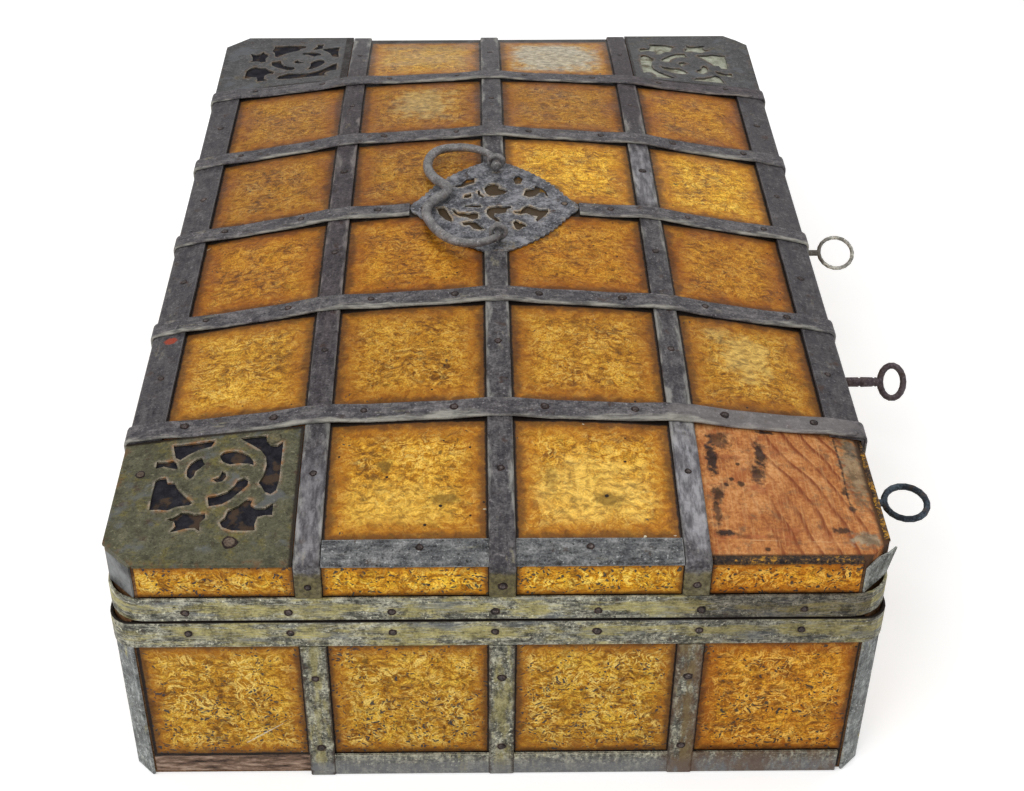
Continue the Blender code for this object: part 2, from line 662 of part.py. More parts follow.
def corner_plate(name, spec):
    """Pierced plate on one corner of the lid, folded down at the edges and over the canted corner."""
    sign_x, sign_y = spec["corner"]
    strap_x = max(abs(x) for x in LONG_STRAPS if x * sign_x > 0)
    strap_y = max(abs(y) for y in CROSS_STRAPS if y * sign_y > 0)
    inner_x = strap_x + STRAP_WIDTH / 2 + FIT
    inner_y = strap_y + STRAP_WIDTH / 2 + FIT
    outer_x = HALF_W + IRON_IN + PLATE
    outer_y = HALF_L + IRON_IN + PLATE
    x_lines = sorted(sign_x * place for place in spaced(inner_x, HALF_W, PLATE_STEP) + [outer_x])
    y_lines = sorted(sign_y * place for place in spaced(inner_y, HALF_L, PLATE_STEP) + [outer_y])
    top = domed_sheet(name, x_lines, y_lines, IRON_IN, IRON_IN + PLATE)
    middle = Vector(spec["middle"])
    pattern_turn = Matrix.Rotation(math.radians(90 * spec["turns"]), 2)
    openings = []
    for outline in CORNER_OPENINGS:
        placed = [middle + pattern_turn @ (Vector(point) * MILLIMETRE) for point in outline]
        openings.append(prism(name, placed, LID_EDGE - CUT_PAST, LID_EDGE + DOME_RISE + CUT_PAST))

    cant_in = LID_CANT / math.sqrt(2) - GAP
    cant_out = cant_in - PLATE
    along = LID_CANT / math.sqrt(2)
    corner = Matrix.Translation((sign_x * HALF_W, sign_y * HALF_L, 0))
    turn = Matrix.Rotation(math.atan2(-sign_y, -sign_x), 4, "Z")
    edge_top = LID_EDGE + IRON_IN + PLATE / 2

    def on_cant(low, high):
        mesh = block(name, low, high)
        mesh.transform(corner @ turn)
        return mesh

    beyond = 2 * LID_CANT
    waste = on_cant((-beyond, -beyond, LID_BAND_TOP), (cant_out, beyond, LID_EDGE + DOME_RISE))
    top = cut(name, top, openings + [waste])
    strip = on_cant((cant_out + FOLD_STEP, -along, LID_BAND_TOP + FIT), (cant_in, along, edge_top))
    lip_low = LID_EDGE - PLATE_LIP
    keep_off = LID_CANT + PLATE
    side_lip = block(name, (sign_x * (HALF_W + IRON_IN), sign_y * (inner_y + FOLD_STEP), lip_low),
                     (sign_x * (outer_x - FOLD_STEP), sign_y * (HALF_L - keep_off), edge_top))
    end_lip = block(name, (sign_x * (inner_x + FOLD_STEP), sign_y * (HALF_L + IRON_IN), lip_low),
                    (sign_x * (HALF_W - keep_off), sign_y * (outer_y - FOLD_STEP), edge_top))
    return fuse(name, [top, strip, side_lip, end_lip])


def handle_plate_outline():
    """Diamond with bowed, notched edges, round side lobes and blunt ends as wide as the straps they meet."""
    blunt = STRAP_WIDTH / 2
    lobe_x = HANDLE_PLATE_HALF_X - HANDLE_LOBE_RADIUS
    lobe = [(lobe_x + HANDLE_LOBE_RADIUS * math.cos(math.radians(angle)),
             HANDLE_LOBE_RADIUS * math.sin(math.radians(angle))) for angle in range(-60, 61, 20)]
    start = Vector(lobe[-1])
    end = Vector((blunt, HANDLE_PLATE_HALF_Y))
    run = end - start
    inward = Vector((-run.y, run.x)).normalized()
    teeth = int(run.length / NOTCH_PITCH)
    edge = []
    for tooth in range(1, teeth):
        share = tooth / teeth
        base = start + run * share - inward * HANDLE_EDGE_BULGE * 4 * share * (1 - share)
        edge.append(base)
        edge.append(base + run.normalized() * NOTCH_PITCH * 0.35 + inward * NOTCH_DEPTH)
    quarter = [Vector(point) for point in lobe[3:]] + edge + [end]
    right = [Vector((p.x, -p.y)) for p in reversed(quarter)] + quarter[1:]
    left = [Vector((-p.x, p.y)) for p in reversed(right)]
    return [(p.x + LONG_STRAPS[1], p.y + HANDLE_CENTRE_Y) for p in right + left]


def handle_plate(name, eye_holes):
    reach = max(HANDLE_PLATE_HALF_X, HANDLE_PLATE_HALF_Y) + CUT_PAST
    x_lines = [LONG_STRAPS[1] + place for place in spaced(-reach, reach, PLATE_STEP)]
    y_lines = [HANDLE_CENTRE_Y + place for place in spaced(-reach, reach, 2 * PLATE_STEP)]
    sheet = domed_sheet(name, x_lines, y_lines, IRON_IN, IRON_IN + PLATE)
    low = LID_EDGE
    high = LID_EDGE + DOME_RISE + CUT_PAST
    plate = combine(name, sheet, [prism(name, handle_plate_outline(), low, high)], "INTERSECT")
    openings = []
    for outline in HANDLE_OPENINGS:
        placed = [(LONG_STRAPS[1] + across * MILLIMETRE, HANDLE_CENTRE_Y + along * MILLIMETRE)
                  for across, along in outline]
        openings.append(prism(name, placed, low, high))
    return cut(name, plate, openings + eye_holes)


def eye_z():
    top = dome(BAIL_PIVOT_X, 0) + IRON_IN + PLATE
    return top + GAP + 2 * EYE_WIRE + EYE_HOLE


def eye_hole_cutter(name, place):
    rod = EYE_WIRE + GAP
    outline = [(BAIL_PIVOT_X + rod * math.cos(math.radians(a)), place + rod * math.sin(math.radians(a)))
               for a in range(0, 360, 30)]
    return prism(name, outline, LID_BOARD_BOTTOM - CUT_PAST, LID_EDGE + DOME_RISE + CUT_PAST)


def handle_eye(name, place):
    """Eye of bent rod: its shank goes down through the lid and its end is clenched under the board."""
    ring_radius = EYE_HOLE + EYE_WIRE
    centre = eye_z()
    loop = []
    for step in range(16):
        angle = 2 * math.pi * step / 16
        across = ring_radius * math.cos(angle)
        loop.append((BAIL_PIVOT_X + across, place, centre + ring_radius * math.sin(angle)))
    ring = tube(name, loop, [EYE_WIRE] * 16, closed=True)
    under = LID_BOARD_BOTTOM - GAP - EYE_WIRE
    route = [(BAIL_PIVOT_X, place, centre - ring_radius),
             (BAIL_PIVOT_X, place, LID_BOARD_BOTTOM + 2 * EYE_WIRE),
             (BAIL_PIVOT_X, place, LID_BOARD_BOTTOM - GAP), (BAIL_PIVOT_X - EYE_WIRE, place, under),
             (BAIL_PIVOT_X - EYE_CLINCH, place, under)]
    radii = [EYE_WIRE] * 4 + [EYE_WIRE * 0.6]
    return fuse(name, [ring, tube(name, route, radii)])


def bail_mesh(name):
    """Two-lobed bail about its pivot line, lying towards -X with a slight droop, a knob on each end."""
    flat = [(x, BAIL_PIVOT_NEAR_Y + y) for x, y in BAIL_NEAR_LOBE]
    flat += [(x, BAIL_PIVOT_FAR_Y + y) for x, y in BAIL_FAR_LOBE]
    course = smooth_route([(x, y, 0) for x, y in flat], per_span=2)
    count = len(course) - 1
    radii = [BAIL_WIRE * (0.66 + 0.40 * math.sin(math.pi * index / count)) for index in range(count + 1)]
    near_knob = [(0, BAIL_PIVOT_NEAR_Y + past, 0) for past, _ in BAIL_KNOB]
    far_knob = [(0, BAIL_PIVOT_FAR_Y - past, 0) for past, _ in reversed(BAIL_KNOB)]
    knob_radii = [radius for _, radius in BAIL_KNOB]
    mesh = tube(name, near_knob + course + far_knob, knob_radii + radii + knob_radii[::-1])
    mesh.transform(Matrix.Rotation(math.radians(-BAIL_DROOP), 4, "Y"))
    return mesh


def key_mesh(name, spec):
    """Key about its shank line, standing upright: bow above and below the line, bit pointing down."""
    bow_x, bow_z = spec["bow"]
    wire = spec["wire"]
    front = HALF_W
    bow_centre = front + spec["reach"]
    loop = []
    steps = 18
    for step in range(steps):
        angle = 2 * math.pi * step / steps
        loop.append((bow_centre + bow_x * math.cos(angle), 0, bow_z * math.sin(angle)))
    bow = tube(name, loop, [wire] * steps, closed=True)
    tip = LOCK_BACK_X + LOCK_PLATE + GAP
    shank_end = bow_centre - bow_x
    profile = [(0, tip), (KEY_SHANK * 0.8, tip), (KEY_SHANK, tip + KEY_SHANK),
               (KEY_SHANK, front + 4 * KEY_SHANK)]
    collar_at = front + KEY_COLLAR_START
    neck = KEY_SHANK * 0.85
    collar = KEY_SHANK * 1.25
    for _ in range(spec["collars"]):
        profile += [(neck, collar_at - KEY_COLLAR / 2), (collar, collar_at),
                    (collar, collar_at + KEY_COLLAR), (neck, collar_at + KEY_COLLAR * 1.5)]
        collar_at += KEY_COLLAR_PITCH
    profile += [(KEY_SHANK * 0.8, shank_end), (0, shank_end)]
    shank = turned(name, profile, 10, Matrix.Rotation(math.radians(90), 4, "Y"))
    bit_start = LOCK_OPEN_X - KEY_BIT_SETBACK - KEY_BIT_LENGTH
    notch = KEY_BIT_LENGTH / 5
    bit = [(bit_start, -KEY_SHANK / 2), (bit_start, -KEY_BIT_REACH),
           (bit_start + 2 * notch, -KEY_BIT_REACH), (bit_start + 2 * notch, -KEY_BIT_REACH + 2 * notch),
           (bit_start + 3 * notch, -KEY_BIT_REACH + 2 * notch), (bit_start + 3 * notch, -KEY_BIT_REACH),
           (bit_start + 5 * notch, -KEY_BIT_REACH), (bit_start + 5 * notch, -KEY_SHANK / 2)]
    blade = prism(name, bit, -KEY_BIT_THICK / 2, KEY_BIT_THICK / 2, axis="Y")
    return fuse(name, [shank, bow, blade])


def make_base():
    floor = canted_outline(HALF_W, HALF_L, BASE_CANT)
    add_object("bottom_board", prism("bottom_board", floor, 0, BOTTOM_BOARD), PINE)
    low = BOTTOM_BOARD + GAP
    for name, sign in (("front", 1), ("back", -1)):
        node = f"base_{name}_board"
        outline = [(sign * (HALF_W - WALL_BOARD), -HALF_L), (sign * (HALF_W - BASE_CANT), -HALF_L),
                   (sign * HALF_W, BASE_CANT - HALF_L), (sign * HALF_W, HALF_L - BASE_CANT),
                   (sign * (HALF_W - BASE_CANT), HALF_L), (sign * (HALF_W - WALL_BOARD), HALF_L)]
        board = prism(node, outline, low, BASE_HEIGHT)
        if sign > 0:
            board = cut(node, board, keyhole_cutters(node))
        add_object(node, board, PINE)
    inner = HALF_W - WALL_BOARD - GAP
    for name, sign in (("near", -1), ("far", 1)):
        node = f"base_{name}_board"
        ends = sorted((sign * (HALF_L - WALL_BOARD), sign * HALF_L))
        add_object(node, block(node, (-inner, ends[0], low), (inner, ends[1], BASE_HEIGHT)), PINE)

    tin_low = FLOOR_CLEARANCE + TIN_FOOT
    for name, sign in (("front", 1), ("back", -1)):
        node = f"base_{name}_tin"
        reach = HALF_L - BASE_TIN_INSET
        faces = sorted((sign * (HALF_W + GAP), sign * (HALF_W + TIN_OUT)))
        sheet = block(node, (faces[0], -reach, tin_low), (faces[1], reach, BASE_BAND_TOP))
        if sign > 0:
            sheet = cut(node, sheet, keyhole_cutters(node))
        add_object(node, sheet, AMBER_TIN)
    for name, sign in (("near", -1), ("far", 1)):
        node = f"base_{name}_tin"
        reach = HALF_W - BASE_TIN_INSET
        faces = sorted((sign * (HALF_L + GAP), sign * (HALF_L + TIN_OUT)))
        sheet = block(node, (-reach, faces[0], tin_low), (reach, faces[1], BASE_BAND_TOP))
        add_object(node, sheet, AMBER_TIN)

    band(BASE_BAND_RADIUS, BASE_BAND_BOTTOM, BASE_BAND_TOP, "base_band")
    for name_y, sign_y in (("near", -1), ("far", 1)):
        for name_x, sign_x in (("front", 1), ("back", -1)):
            corner_strap(f"base_corner_strap_{name_y}_{name_x}", sign_x, sign_y,
                         FLOOR_CLEARANCE, BASE_BAND_BOTTOM - FIT)
    end_straps("base_near_straps", -1, first=LONG_STRAPS[0] - STRAP_WIDTH / 2)
    end_straps("base_far_straps", 1, first=BASE_CANT - HALF_W + STRAP_WIDTH / 4)
    wall_straps("base_front_straps", 1, hinged=())
    wall_straps("base_back_straps", -1, hinged=HINGED_STRAPS)
    for number, name in zip(HINGED_STRAPS, ("near", "far")):
        hinge_pin(f"hinge_pin_{name}", CROSS_STRAPS[number])


def band(radius, bottom, top, name):
    """Iron band round the box at the parting line, nailed flat to the walls and loose round the corners."""
    inner = rounded_outline(HALF_W + IRON_IN, HALF_L + IRON_IN, radius)
    outer = rounded_outline(HALF_W + IRON_IN + IRON, HALF_L + IRON_IN + IRON, radius + IRON)
    add_object(name, ring_band(name, inner, outer, bottom, top), OLIVE_IRON)


def corner_strap(name, sign_x, sign_y, low, high):
    """Flat strap on a canted corner of the base, a little wider than the cant."""
    face = BASE_CANT / math.sqrt(2) - GAP
    half = BASE_CANT / math.sqrt(2) + CORNER_STRAP_OVERLAP
    outline = [(face - up, across) for across, up in strap_section(2 * half, IRON)]
    mesh = prism(name, outline, low, high)
    mesh.transform(Matrix.Translation((sign_x * HALF_W, sign_y * HALF_L, 0))
                   @ Matrix.Rotation(math.atan2(-sign_y, -sign_x), 4, "Z"))
    add_object(name, mesh, GREY_IRON)


def upright(name, middle, low, high, face, sign, direction):
    """One upright strap on a wall; direction is the axis that the wall faces."""
    section = strap_section(STRAP_WIDTH, IRON + UPRIGHT_EXTRA)
    if direction == "X":
        outline = [(sign * (face + IRON_IN + up), middle + across) for across, up in section]
    else:
        outline = [(middle + across, sign * (face + IRON_IN + up)) for across, up in section]
    return prism(name, outline, low, high)


def end_straps(name, sign, first):
    """Uprights and bottom strip of an end wall; the strip starts at first and ends at the far corner."""
    last = HALF_W - BASE_CANT - STRAP_WIDTH / 4
    faces = sorted((sign * (HALF_L + IRON_IN), sign * (HALF_L + IRON_IN + IRON)))
    strip_top = FLOOR_CLEARANCE + BOTTOM_STRIP_HEIGHT
    strip = block(name, (first, faces[0], FLOOR_CLEARANCE), (last, faces[1], strip_top))
    top = BASE_BAND_BOTTOM - FIT
    uprights = [upright(name, place, FLOOR_CLEARANCE, top, HALF_L, sign, "Y") for place in LONG_STRAPS]
    add_object(name, fuse(name, [strip] + uprights), OLIVE_IRON)


def wall_straps(name, sign, hinged):
    """Uprights and bottom strip of a long wall; hinged uprights run over the band to a hinge eye."""
    reach = HALF_L - BASE_CANT - STRAP_WIDTH / 4
    faces = sorted((sign * (HALF_W + IRON_IN), sign * (HALF_W + IRON_IN + IRON)))
    strip = block(name, (faces[0], -reach, FLOOR_CLEARANCE),
                  (faces[1], reach, FLOOR_CLEARANCE + BOTTOM_STRIP_HEIGHT))
    top = BASE_BAND_BOTTOM - FIT
    pieces = [strip]
    for number, place in enumerate(CROSS_STRAPS):
        pieces.append(upright(name, place, FLOOR_CLEARANCE, top, HALF_W, sign, "X"))
        if number in hinged:
            root = PARTING_Z - KNUCKLE_ROOT
            near_face = HALF_W + IRON_IN + OVER_IRON
            crank = [(sign * (near_face - OVER_IRON), top - 2 * STRAP_RAMP),
                     (sign * (near_face - OVER_IRON + IRON), top - 2 * STRAP_RAMP),
                     (sign * (near_face + IRON), top - STRAP_RAMP), (sign * (near_face + IRON), root),
                     (sign * near_face, root), (sign * near_face, top - STRAP_RAMP)]
            pieces.append(prism(name, crank, place - STRAP_WIDTH / 2, place + STRAP_WIDTH / 2, axis="Y"))
            low, high = knuckle_spans(place)[1]
            pieces.append(knuckle_finger(name, low, high, root - TAIL_OVERLAP))
    add_object(name, fuse(name, pieces), OLIVE_IRON)


def hinge_pin(name, middle):
    """Pin of one hinge, with a small head at each end."""
    half = STRAP_WIDTH / 2 + HINGE_SIDE_GAP
    end = half + PIN_HEAD
    profile = [(0, -end - PIN_CROWN), (PIN_HEAD_RADIUS, -end), (PIN_HEAD_RADIUS, -half)]
    profile += [(HINGE_PIN_RADIUS, -half), (HINGE_PIN_RADIUS, half)]
    profile += [(PIN_HEAD_RADIUS, half), (PIN_HEAD_RADIUS, end), (0, end + PIN_CROWN)]
    mesh = turned(name, profile, 20, Matrix.Rotation(math.radians(-90), 4, "X"))
    pin = add_object(name, mesh, GREY_IRON)
    pin.location = (HINGE_X, middle, PARTING_Z)


def make_lid():
    eye_holes = [BAIL_PIVOT_NEAR_Y, BAIL_PIVOT_FAR_Y]
    node = "lid_top_board"
    board = domed_sheet(node, X_LINES, Y_LINES, None, 0.0)
    wedges = cant_cutters(node, LID_BOARD_BOTTOM - CUT_PAST, LID_EDGE + DOME_RISE)
    holes = [eye_hole_cutter(node, place) for place in eye_holes]
    add_object(node, cut(node, board, wedges + holes), PINE)

    node = "lid_rail_frame"
    outer = canted_outline(HALF_W, HALF_L, LID_CANT)
    inner_x = HALF_W - LID_RAIL
    inner_y = HALF_L - LID_RAIL
    frame = prism(node, outer, LID_BOTTOM, LID_BOARD_BOTTOM - GAP)
    well = block(node, (-inner_x, -inner_y, LID_BOTTOM - CUT_PAST), (inner_x, inner_y, LID_EDGE))
    add_object(node, cut(node, frame, [well]), PINE)

    node = "lid_top_tin"
    def not_corner(x, y):
        beyond_x = x < LONG_STRAPS[0] or x > LONG_STRAPS[2]
        beyond_y = y < CROSS_STRAPS[0] or y > CROSS_STRAPS[4]
        return not (beyond_x and beyond_y)
    sheet = domed_sheet(node, X_LINES, Y_LINES, GAP, TIN_OUT, not_corner)
    add_object(node, cut(node, sheet, [eye_hole_cutter(node, place) for place in eye_holes]), AMBER_TIN)

    rim_top = LID_EDGE - GAP
    for name, sign in (("front", 1), ("back", -1)):
        node = f"lid_{name}_tin"
        reach = HALF_L - LID_TIN_INSET
        faces = sorted((sign * (HALF_W + GAP), sign * (HALF_W + TIN_OUT)))
        sheet = block(node, (faces[0], -reach, LID_BAND_BOTTOM), (faces[1], reach, rim_top))
        add_object(node, sheet, AMBER_TIN)
    for name, sign in (("near", -1), ("far", 1)):
        node = f"lid_{name}_tin"
        reach = HALF_W - LID_TIN_INSET
        faces = sorted((sign * (HALF_L + GAP), sign * (HALF_L + TIN_OUT)))
        sheet = block(node, (-reach, faces[0], LID_BAND_BOTTOM), (reach, faces[1], rim_top))
        add_object(node, sheet, AMBER_TIN)
    band(LID_BAND_RADIUS, LID_BAND_BOTTOM, LID_BAND_TOP, "lid_band")
    lid_straps_along()
    lid_straps_across()

    first = CROSS_STRAPS[0] - STRAP_WIDTH / 2 + FIT
    last = CROSS_STRAPS[4] + STRAP_WIDTH / 2 - FIT
    for name, sign in (("front", 1), ("back", -1)):
        node = f"lid_edge_strap_{name}"
        strip = angle_strip(node, "Y", sign, first, last, EDGE_STRAP_WIDTH, EDGE_STRAP_DROP)
        add_object(node, strip, GREY_IRON)
    node = "lid_near_edge_strip"
    first = LONG_STRAPS[0] + STRAP_WIDTH / 2 + FIT
    last = LONG_STRAPS[2] - STRAP_WIDTH / 2 - FIT
    add_object(node, angle_strip(node, "X", -1, first, last, NEAR_STRIP_WIDTH, NEAR_STRIP_DROP), GREY_IRON)

    for corner, spec in CORNER_PLATES.items():
        node = f"corner_plate_{corner}"
        add_object(node, corner_plate(node, spec), OLIVE_IRON)
    torn_corner_strip("lid_corner_strip", 1, -1)

    node = "handle_plate"
    holes = [eye_hole_cutter(node, place) for place in eye_holes]
    add_object(node, handle_plate(node, holes), GREY_IRON)
    for name, place in zip(("near", "far"), eye_holes):
        node = f"handle_eye_{name}"
        add_object(node, handle_eye(node, place), GREY_IRON)
    keeper_bar("keeper_bar")


def lid_straps_along():
    """Straps along the lid, bent down over both ends as far as the lid band."""
    foot = LID_BAND_TOP + FIT
    for name, middle in zip(("back", "middle", "front"), LONG_STRAPS):
        plain_end = edge_stations(1, 0.0, [(LID_EDGE, 0.0), (foot, 0.0)])
        inset = HALF_L - EDGE_INSET
        if name == "middle":
            strip_top = -HALF_L + NEAR_STRIP_WIDTH
            over = OVER_IRON
            start = edge_stations(-1, over, [(LID_EDGE, over), (LID_EDGE - NEAR_STRIP_DROP - FIT, over),
                                             (LID_EDGE - NEAR_STRIP_DROP - STRAP_RAMP, 0.0), (foot, 0.0)])
            plate_end = HANDLE_CENTRE_Y - HANDLE_PLATE_HALF_Y - FIT
            bumps = [(-HALF_L, strip_top + FIT, over)]
            tops = top_stations(-inset, plate_end, bumps)
            node = "lid_long_strap_middle_near"
            add_object(node, lid_strap(node, "Y", middle, start[::-1] + tops), GREY_IRON)
            plate_end = HANDLE_CENTRE_Y + HANDLE_PLATE_HALF_Y + FIT
            node = "lid_long_strap_middle_far"
            tops = top_stations(plate_end, inset, [])
            add_object(node, lid_strap(node, "Y", middle, tops + plain_end), GREY_IRON)
            continue
        node = f"lid_long_strap_{name}"
        start = edge_stations(-1, 0.0, [(LID_EDGE, 0.0), (foot, 0.0)])
        tops = top_stations(-inset, inset, [])
        add_object(node, lid_strap(node, "Y", middle, start[::-1] + tops + plain_end), GREY_IRON)


def lid_straps_across():
    """Straps across the lid, over the straps along it, bent down over the front and the back."""
    foot = LID_BAND_TOP + FIT
    over = OVER_IRON
    inset = HALF_W - EDGE_INSET
    edge = HALF_W - EDGE_STRAP_WIDTH - FIT
    flange = LID_EDGE - EDGE_STRAP_DROP - FIT
    bumps = [(place - STRAP_WIDTH / 2 - FIT, place + STRAP_WIDTH / 2 + FIT, over) for place in LONG_STRAPS]
    bumps += [(-HALF_W, -edge, over), (edge, HALF_W, over)]
    side = [(LID_EDGE, over), (flange, over), (flange - STRAP_RAMP, 0.0), (foot, 0.0)]
    for number, middle in enumerate(CROSS_STRAPS):
        node = f"lid_cross_strap_{number + 1}"
        front = edge_stations(1, over, side)
        back = edge_stations(-1, over, side)
        if number in HINGED_STRAPS:
            root = PARTING_Z + KNUCKLE_ROOT
            back = edge_stations(-1, over, [(LID_EDGE, over), (root, over)])
        if number == 2:
            lobe = LONG_STRAPS[1] - HANDLE_PLATE_HALF_X - FIT
            tops = top_stations(-inset, lobe, [bumps[0], bumps[3]])
            add_object(node + "_back", lid_strap(node, "X", middle, back[::-1] + tops), GREY_IRON)
            lobe = LONG_STRAPS[1] + HANDLE_PLATE_HALF_X + FIT
            tops = top_stations(lobe, inset, [bumps[2], bumps[4]])
            add_object(node + "_front", lid_strap(node, "X", middle, tops + front), GREY_IRON)
            continue
        strap = lid_strap(node, "X", middle, back[::-1] + top_stations(-inset, inset, bumps) + front)
        if number in HINGED_STRAPS:
            low, _, high = knuckle_spans(middle)
            tail = PARTING_Z + KNUCKLE_ROOT + TAIL_OVERLAP
            fingers = [knuckle_finger(node, *span, tail) for span in (low, high)]
            strap = fuse(node, [strap] + fingers)
        add_object(node, strap, GREY_IRON)


# Torn top of the strip on the bare corner: share of its width from the near end, and depth below the edge
TORN_TOP = ((0.0, 0.0058), (0.3, 0.0050), (0.55, 0.0046), (0.8, 0.0034), (1.0, 0.0004))


def torn_corner_strip(name, sign_x, sign_y):
    """Strip left on the canted corner where the plate is lost: torn along the top, one end bent out."""
    face = LID_CANT / math.sqrt(2) - GAP
    half = LID_CANT / math.sqrt(2)
    low = LID_BAND_TOP + FIT
    rings = []
    for share, below in TORN_TOP:
        across = half * (1 - 2 * share) * sign_x
        top = LID_EDGE - below
        top_out = face - TORN_FLARE * max(0, share - TORN_FLARE_START) / (1 - TORN_FLARE_START)
        rings.append([(face, across, low), (face - PLATE, across, low),
                      (top_out - PLATE, across, top), (top_out, across, top)])
    mesh = loft(name, rings)
    mesh.transform(Matrix.Translation((sign_x * HALF_W, sign_y * HALF_L, 0))
                   @ Matrix.Rotation(math.atan2(-sign_y, -sign_x), 4, "Z"))
    add_object(name, mesh, OLIVE_IRON)


def bolt_end(place):
    """Free end of a bolt at rest; its foot stays short of the hook when the bolt is thrown."""
    return place + BOLT_FOOT_WIDTH / 2 + BOLT_TRAVEL + BOLT_OVERTRAVEL + FIT


def keeper_bar(name):
    """Bar on the inside of the lid's front rail, with a hook for each bolt to slide over."""
    low = LID_BOTTOM + KEEPER_RAISE
    places = [lock_place(key) for key in KEYS]
    bar = block(name, (KEEPER_X - HOOK_BAR, min(places) - KEEPER_END, low),
                (KEEPER_X, max(places) + KEEPER_END, low + KEEPER_HEIGHT))
    toe_top = BOLT_Z - BOLT_HEIGHT / 2 - GAP
    toe_low = toe_top - HOOK_TOE_THICK
    hooks = []
    for place in places:
        start = bolt_end(place) + FIT
        outline = [(KEEPER_X, low + KEEPER_HEIGHT / 2), (KEEPER_X, toe_low),
                   (KEEPER_X - HOOK_BAR - HOOK_TOE, toe_low), (KEEPER_X - HOOK_BAR - HOOK_TOE, toe_top),
                   (KEEPER_X - HOOK_BAR, toe_top), (KEEPER_X - HOOK_BAR, low + KEEPER_HEIGHT / 2)]
        hooks.append(prism(name, outline, start, start + HOOK_WIDTH, axis="Y"))
    add_object(name, fuse(name, [bar] + hooks), GREY_IRON)


def make_locks():
    for key, spec in KEYS.items():
        place = lock_place(key)
        end_wall = place - LOCK_HALF_WIDTH
        case = f"lock_case_{key}"
        wall = LOCK_PLATE
        shell = block(case, (LOCK_BACK_X, end_wall, LOCK_BOTTOM),
                      (LOCK_OPEN_X, place + LOCK_HALF_WIDTH, LOCK_TOP))
        hollow = block(case, (LOCK_BACK_X + wall, end_wall + wall, LOCK_BOTTOM + wall),
                       (LOCK_OPEN_X + CUT_PAST, place + LOCK_HALF_WIDTH - wall, LOCK_TOP - wall))
        hook_start = bolt_end(place) + FIT
        mouth = block(case, (KEEPER_X - HOOK_BAR - HOOK_TOE - HOOK_PLAY, hook_start - HOOK_PLAY,
                             LOCK_TOP - CUT_PAST),
                      (LOCK_OPEN_X + CUT_PAST, hook_start + HOOK_WIDTH + HOOK_PLAY, LOCK_TOP + CUT_PAST))
        half_x = BOLT_THICK / 2 + GAP
        half_z = BOLT_HEIGHT / 2 + GAP
        guide = block(case, (BOLT_X - half_x, end_wall - CUT_PAST, BOLT_Z - half_z),
                      (BOLT_X + half_x, end_wall + 2 * wall, BOLT_Z + half_z))
        add_object(case, cut(case, shell, [hollow, mouth, guide]), GREY_IRON)

        bolt = f"bolt_{key}"
        tail = -LOCK_HALF_WIDTH - BOLT_TRAVEL - BOLT_TAIL_END
        top = BOLT_Z + BOLT_HEIGHT / 2
        bar = BOLT_Z - BOLT_HEIGHT / 2
        foot = bar - BOLT_FOOT_DEPTH
        half = BOLT_FOOT_WIDTH / 2
        talon = KEY_BIT_THICK
        outline = [(tail, bar), (-half, bar), (-half, foot), (-talon, foot), (-talon, foot + TALON_DEPTH),
                   (talon, foot + TALON_DEPTH), (talon, foot), (half, foot), (half, bar),
                   (bolt_end(place) - place, bar), (bolt_end(place) - place, top), (tail, top)]
        mesh = prism(bolt, outline, -BOLT_THICK / 2, BOLT_THICK / 2, axis="X")
        piece = add_object(bolt, mesh, BRIGHT_STEEL)
        piece.location = (BOLT_X, place, 0)

        metal = {"near": BLUED_STEEL, "middle": BROWN_IRON, "far": BRIGHT_STEEL}[key]
        piece = add_object(f"key_{key}", key_mesh(f"key_{key}", spec), metal)
        piece.location = (0, place, KEY_HEIGHT)
        piece.rotation_euler = (math.radians(-spec["turn"]), 0, 0)


def make_bail():
    bail = add_object("handle_bail", bail_mesh("handle_bail"), GREY_IRON)
    bail.location = (BAIL_PIVOT_X, 0, eye_z())
    bail.data.shade_smooth()


for old in list(bpy.data.objects):
    bpy.data.objects.remove(old)
make_base()
make_lid()
make_locks()
make_bail()
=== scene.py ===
# Looks of an old iron-bound casket: pine boards, tin sheet under amber lacquer, and a lattice of
# forged straps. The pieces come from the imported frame, in metres, +Z up, with the keys at +X and
# the hinges at -X.
import math
import random

import bmesh
import bpy
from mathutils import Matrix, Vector
from mathutils.bvhtree import BVHTree


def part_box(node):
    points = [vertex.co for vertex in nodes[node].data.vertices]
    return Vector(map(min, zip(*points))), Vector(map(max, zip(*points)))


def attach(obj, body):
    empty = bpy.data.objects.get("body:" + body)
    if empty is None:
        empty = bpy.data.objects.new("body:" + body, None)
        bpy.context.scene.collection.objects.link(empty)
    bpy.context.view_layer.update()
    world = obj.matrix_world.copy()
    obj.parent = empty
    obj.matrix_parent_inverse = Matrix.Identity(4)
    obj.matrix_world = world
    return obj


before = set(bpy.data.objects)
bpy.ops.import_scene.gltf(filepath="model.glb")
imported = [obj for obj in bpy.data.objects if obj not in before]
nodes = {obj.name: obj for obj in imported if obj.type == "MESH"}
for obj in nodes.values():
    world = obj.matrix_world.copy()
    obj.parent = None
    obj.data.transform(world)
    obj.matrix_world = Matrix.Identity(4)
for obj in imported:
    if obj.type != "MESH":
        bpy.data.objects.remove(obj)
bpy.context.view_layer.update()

# The photograph's view: a camera a little above the near end, with the frame shifted off its axis.
# It stands about a metre from the lid and looks 37 degrees down.
photo_camera = bpy.data.cameras.new("photo_view")
photo_camera.sensor_width = 36.0
photo_camera.lens = 59.7656
photo_camera.shift_x = 0.02728
photo_camera.shift_y = -0.01331
photo_view = bpy.data.objects.new("photo_view", photo_camera)
photo_view.location = (-0.01344, -0.99881, 0.79991)
photo_view.rotation_euler = [math.radians(angle) for angle in (53.10805, 0.06258, -0.51173)]
bpy.context.scene.collection.objects.link(photo_view)
bpy.context.scene.camera = photo_view
bpy.context.scene.view_settings.view_transform = "Standard"

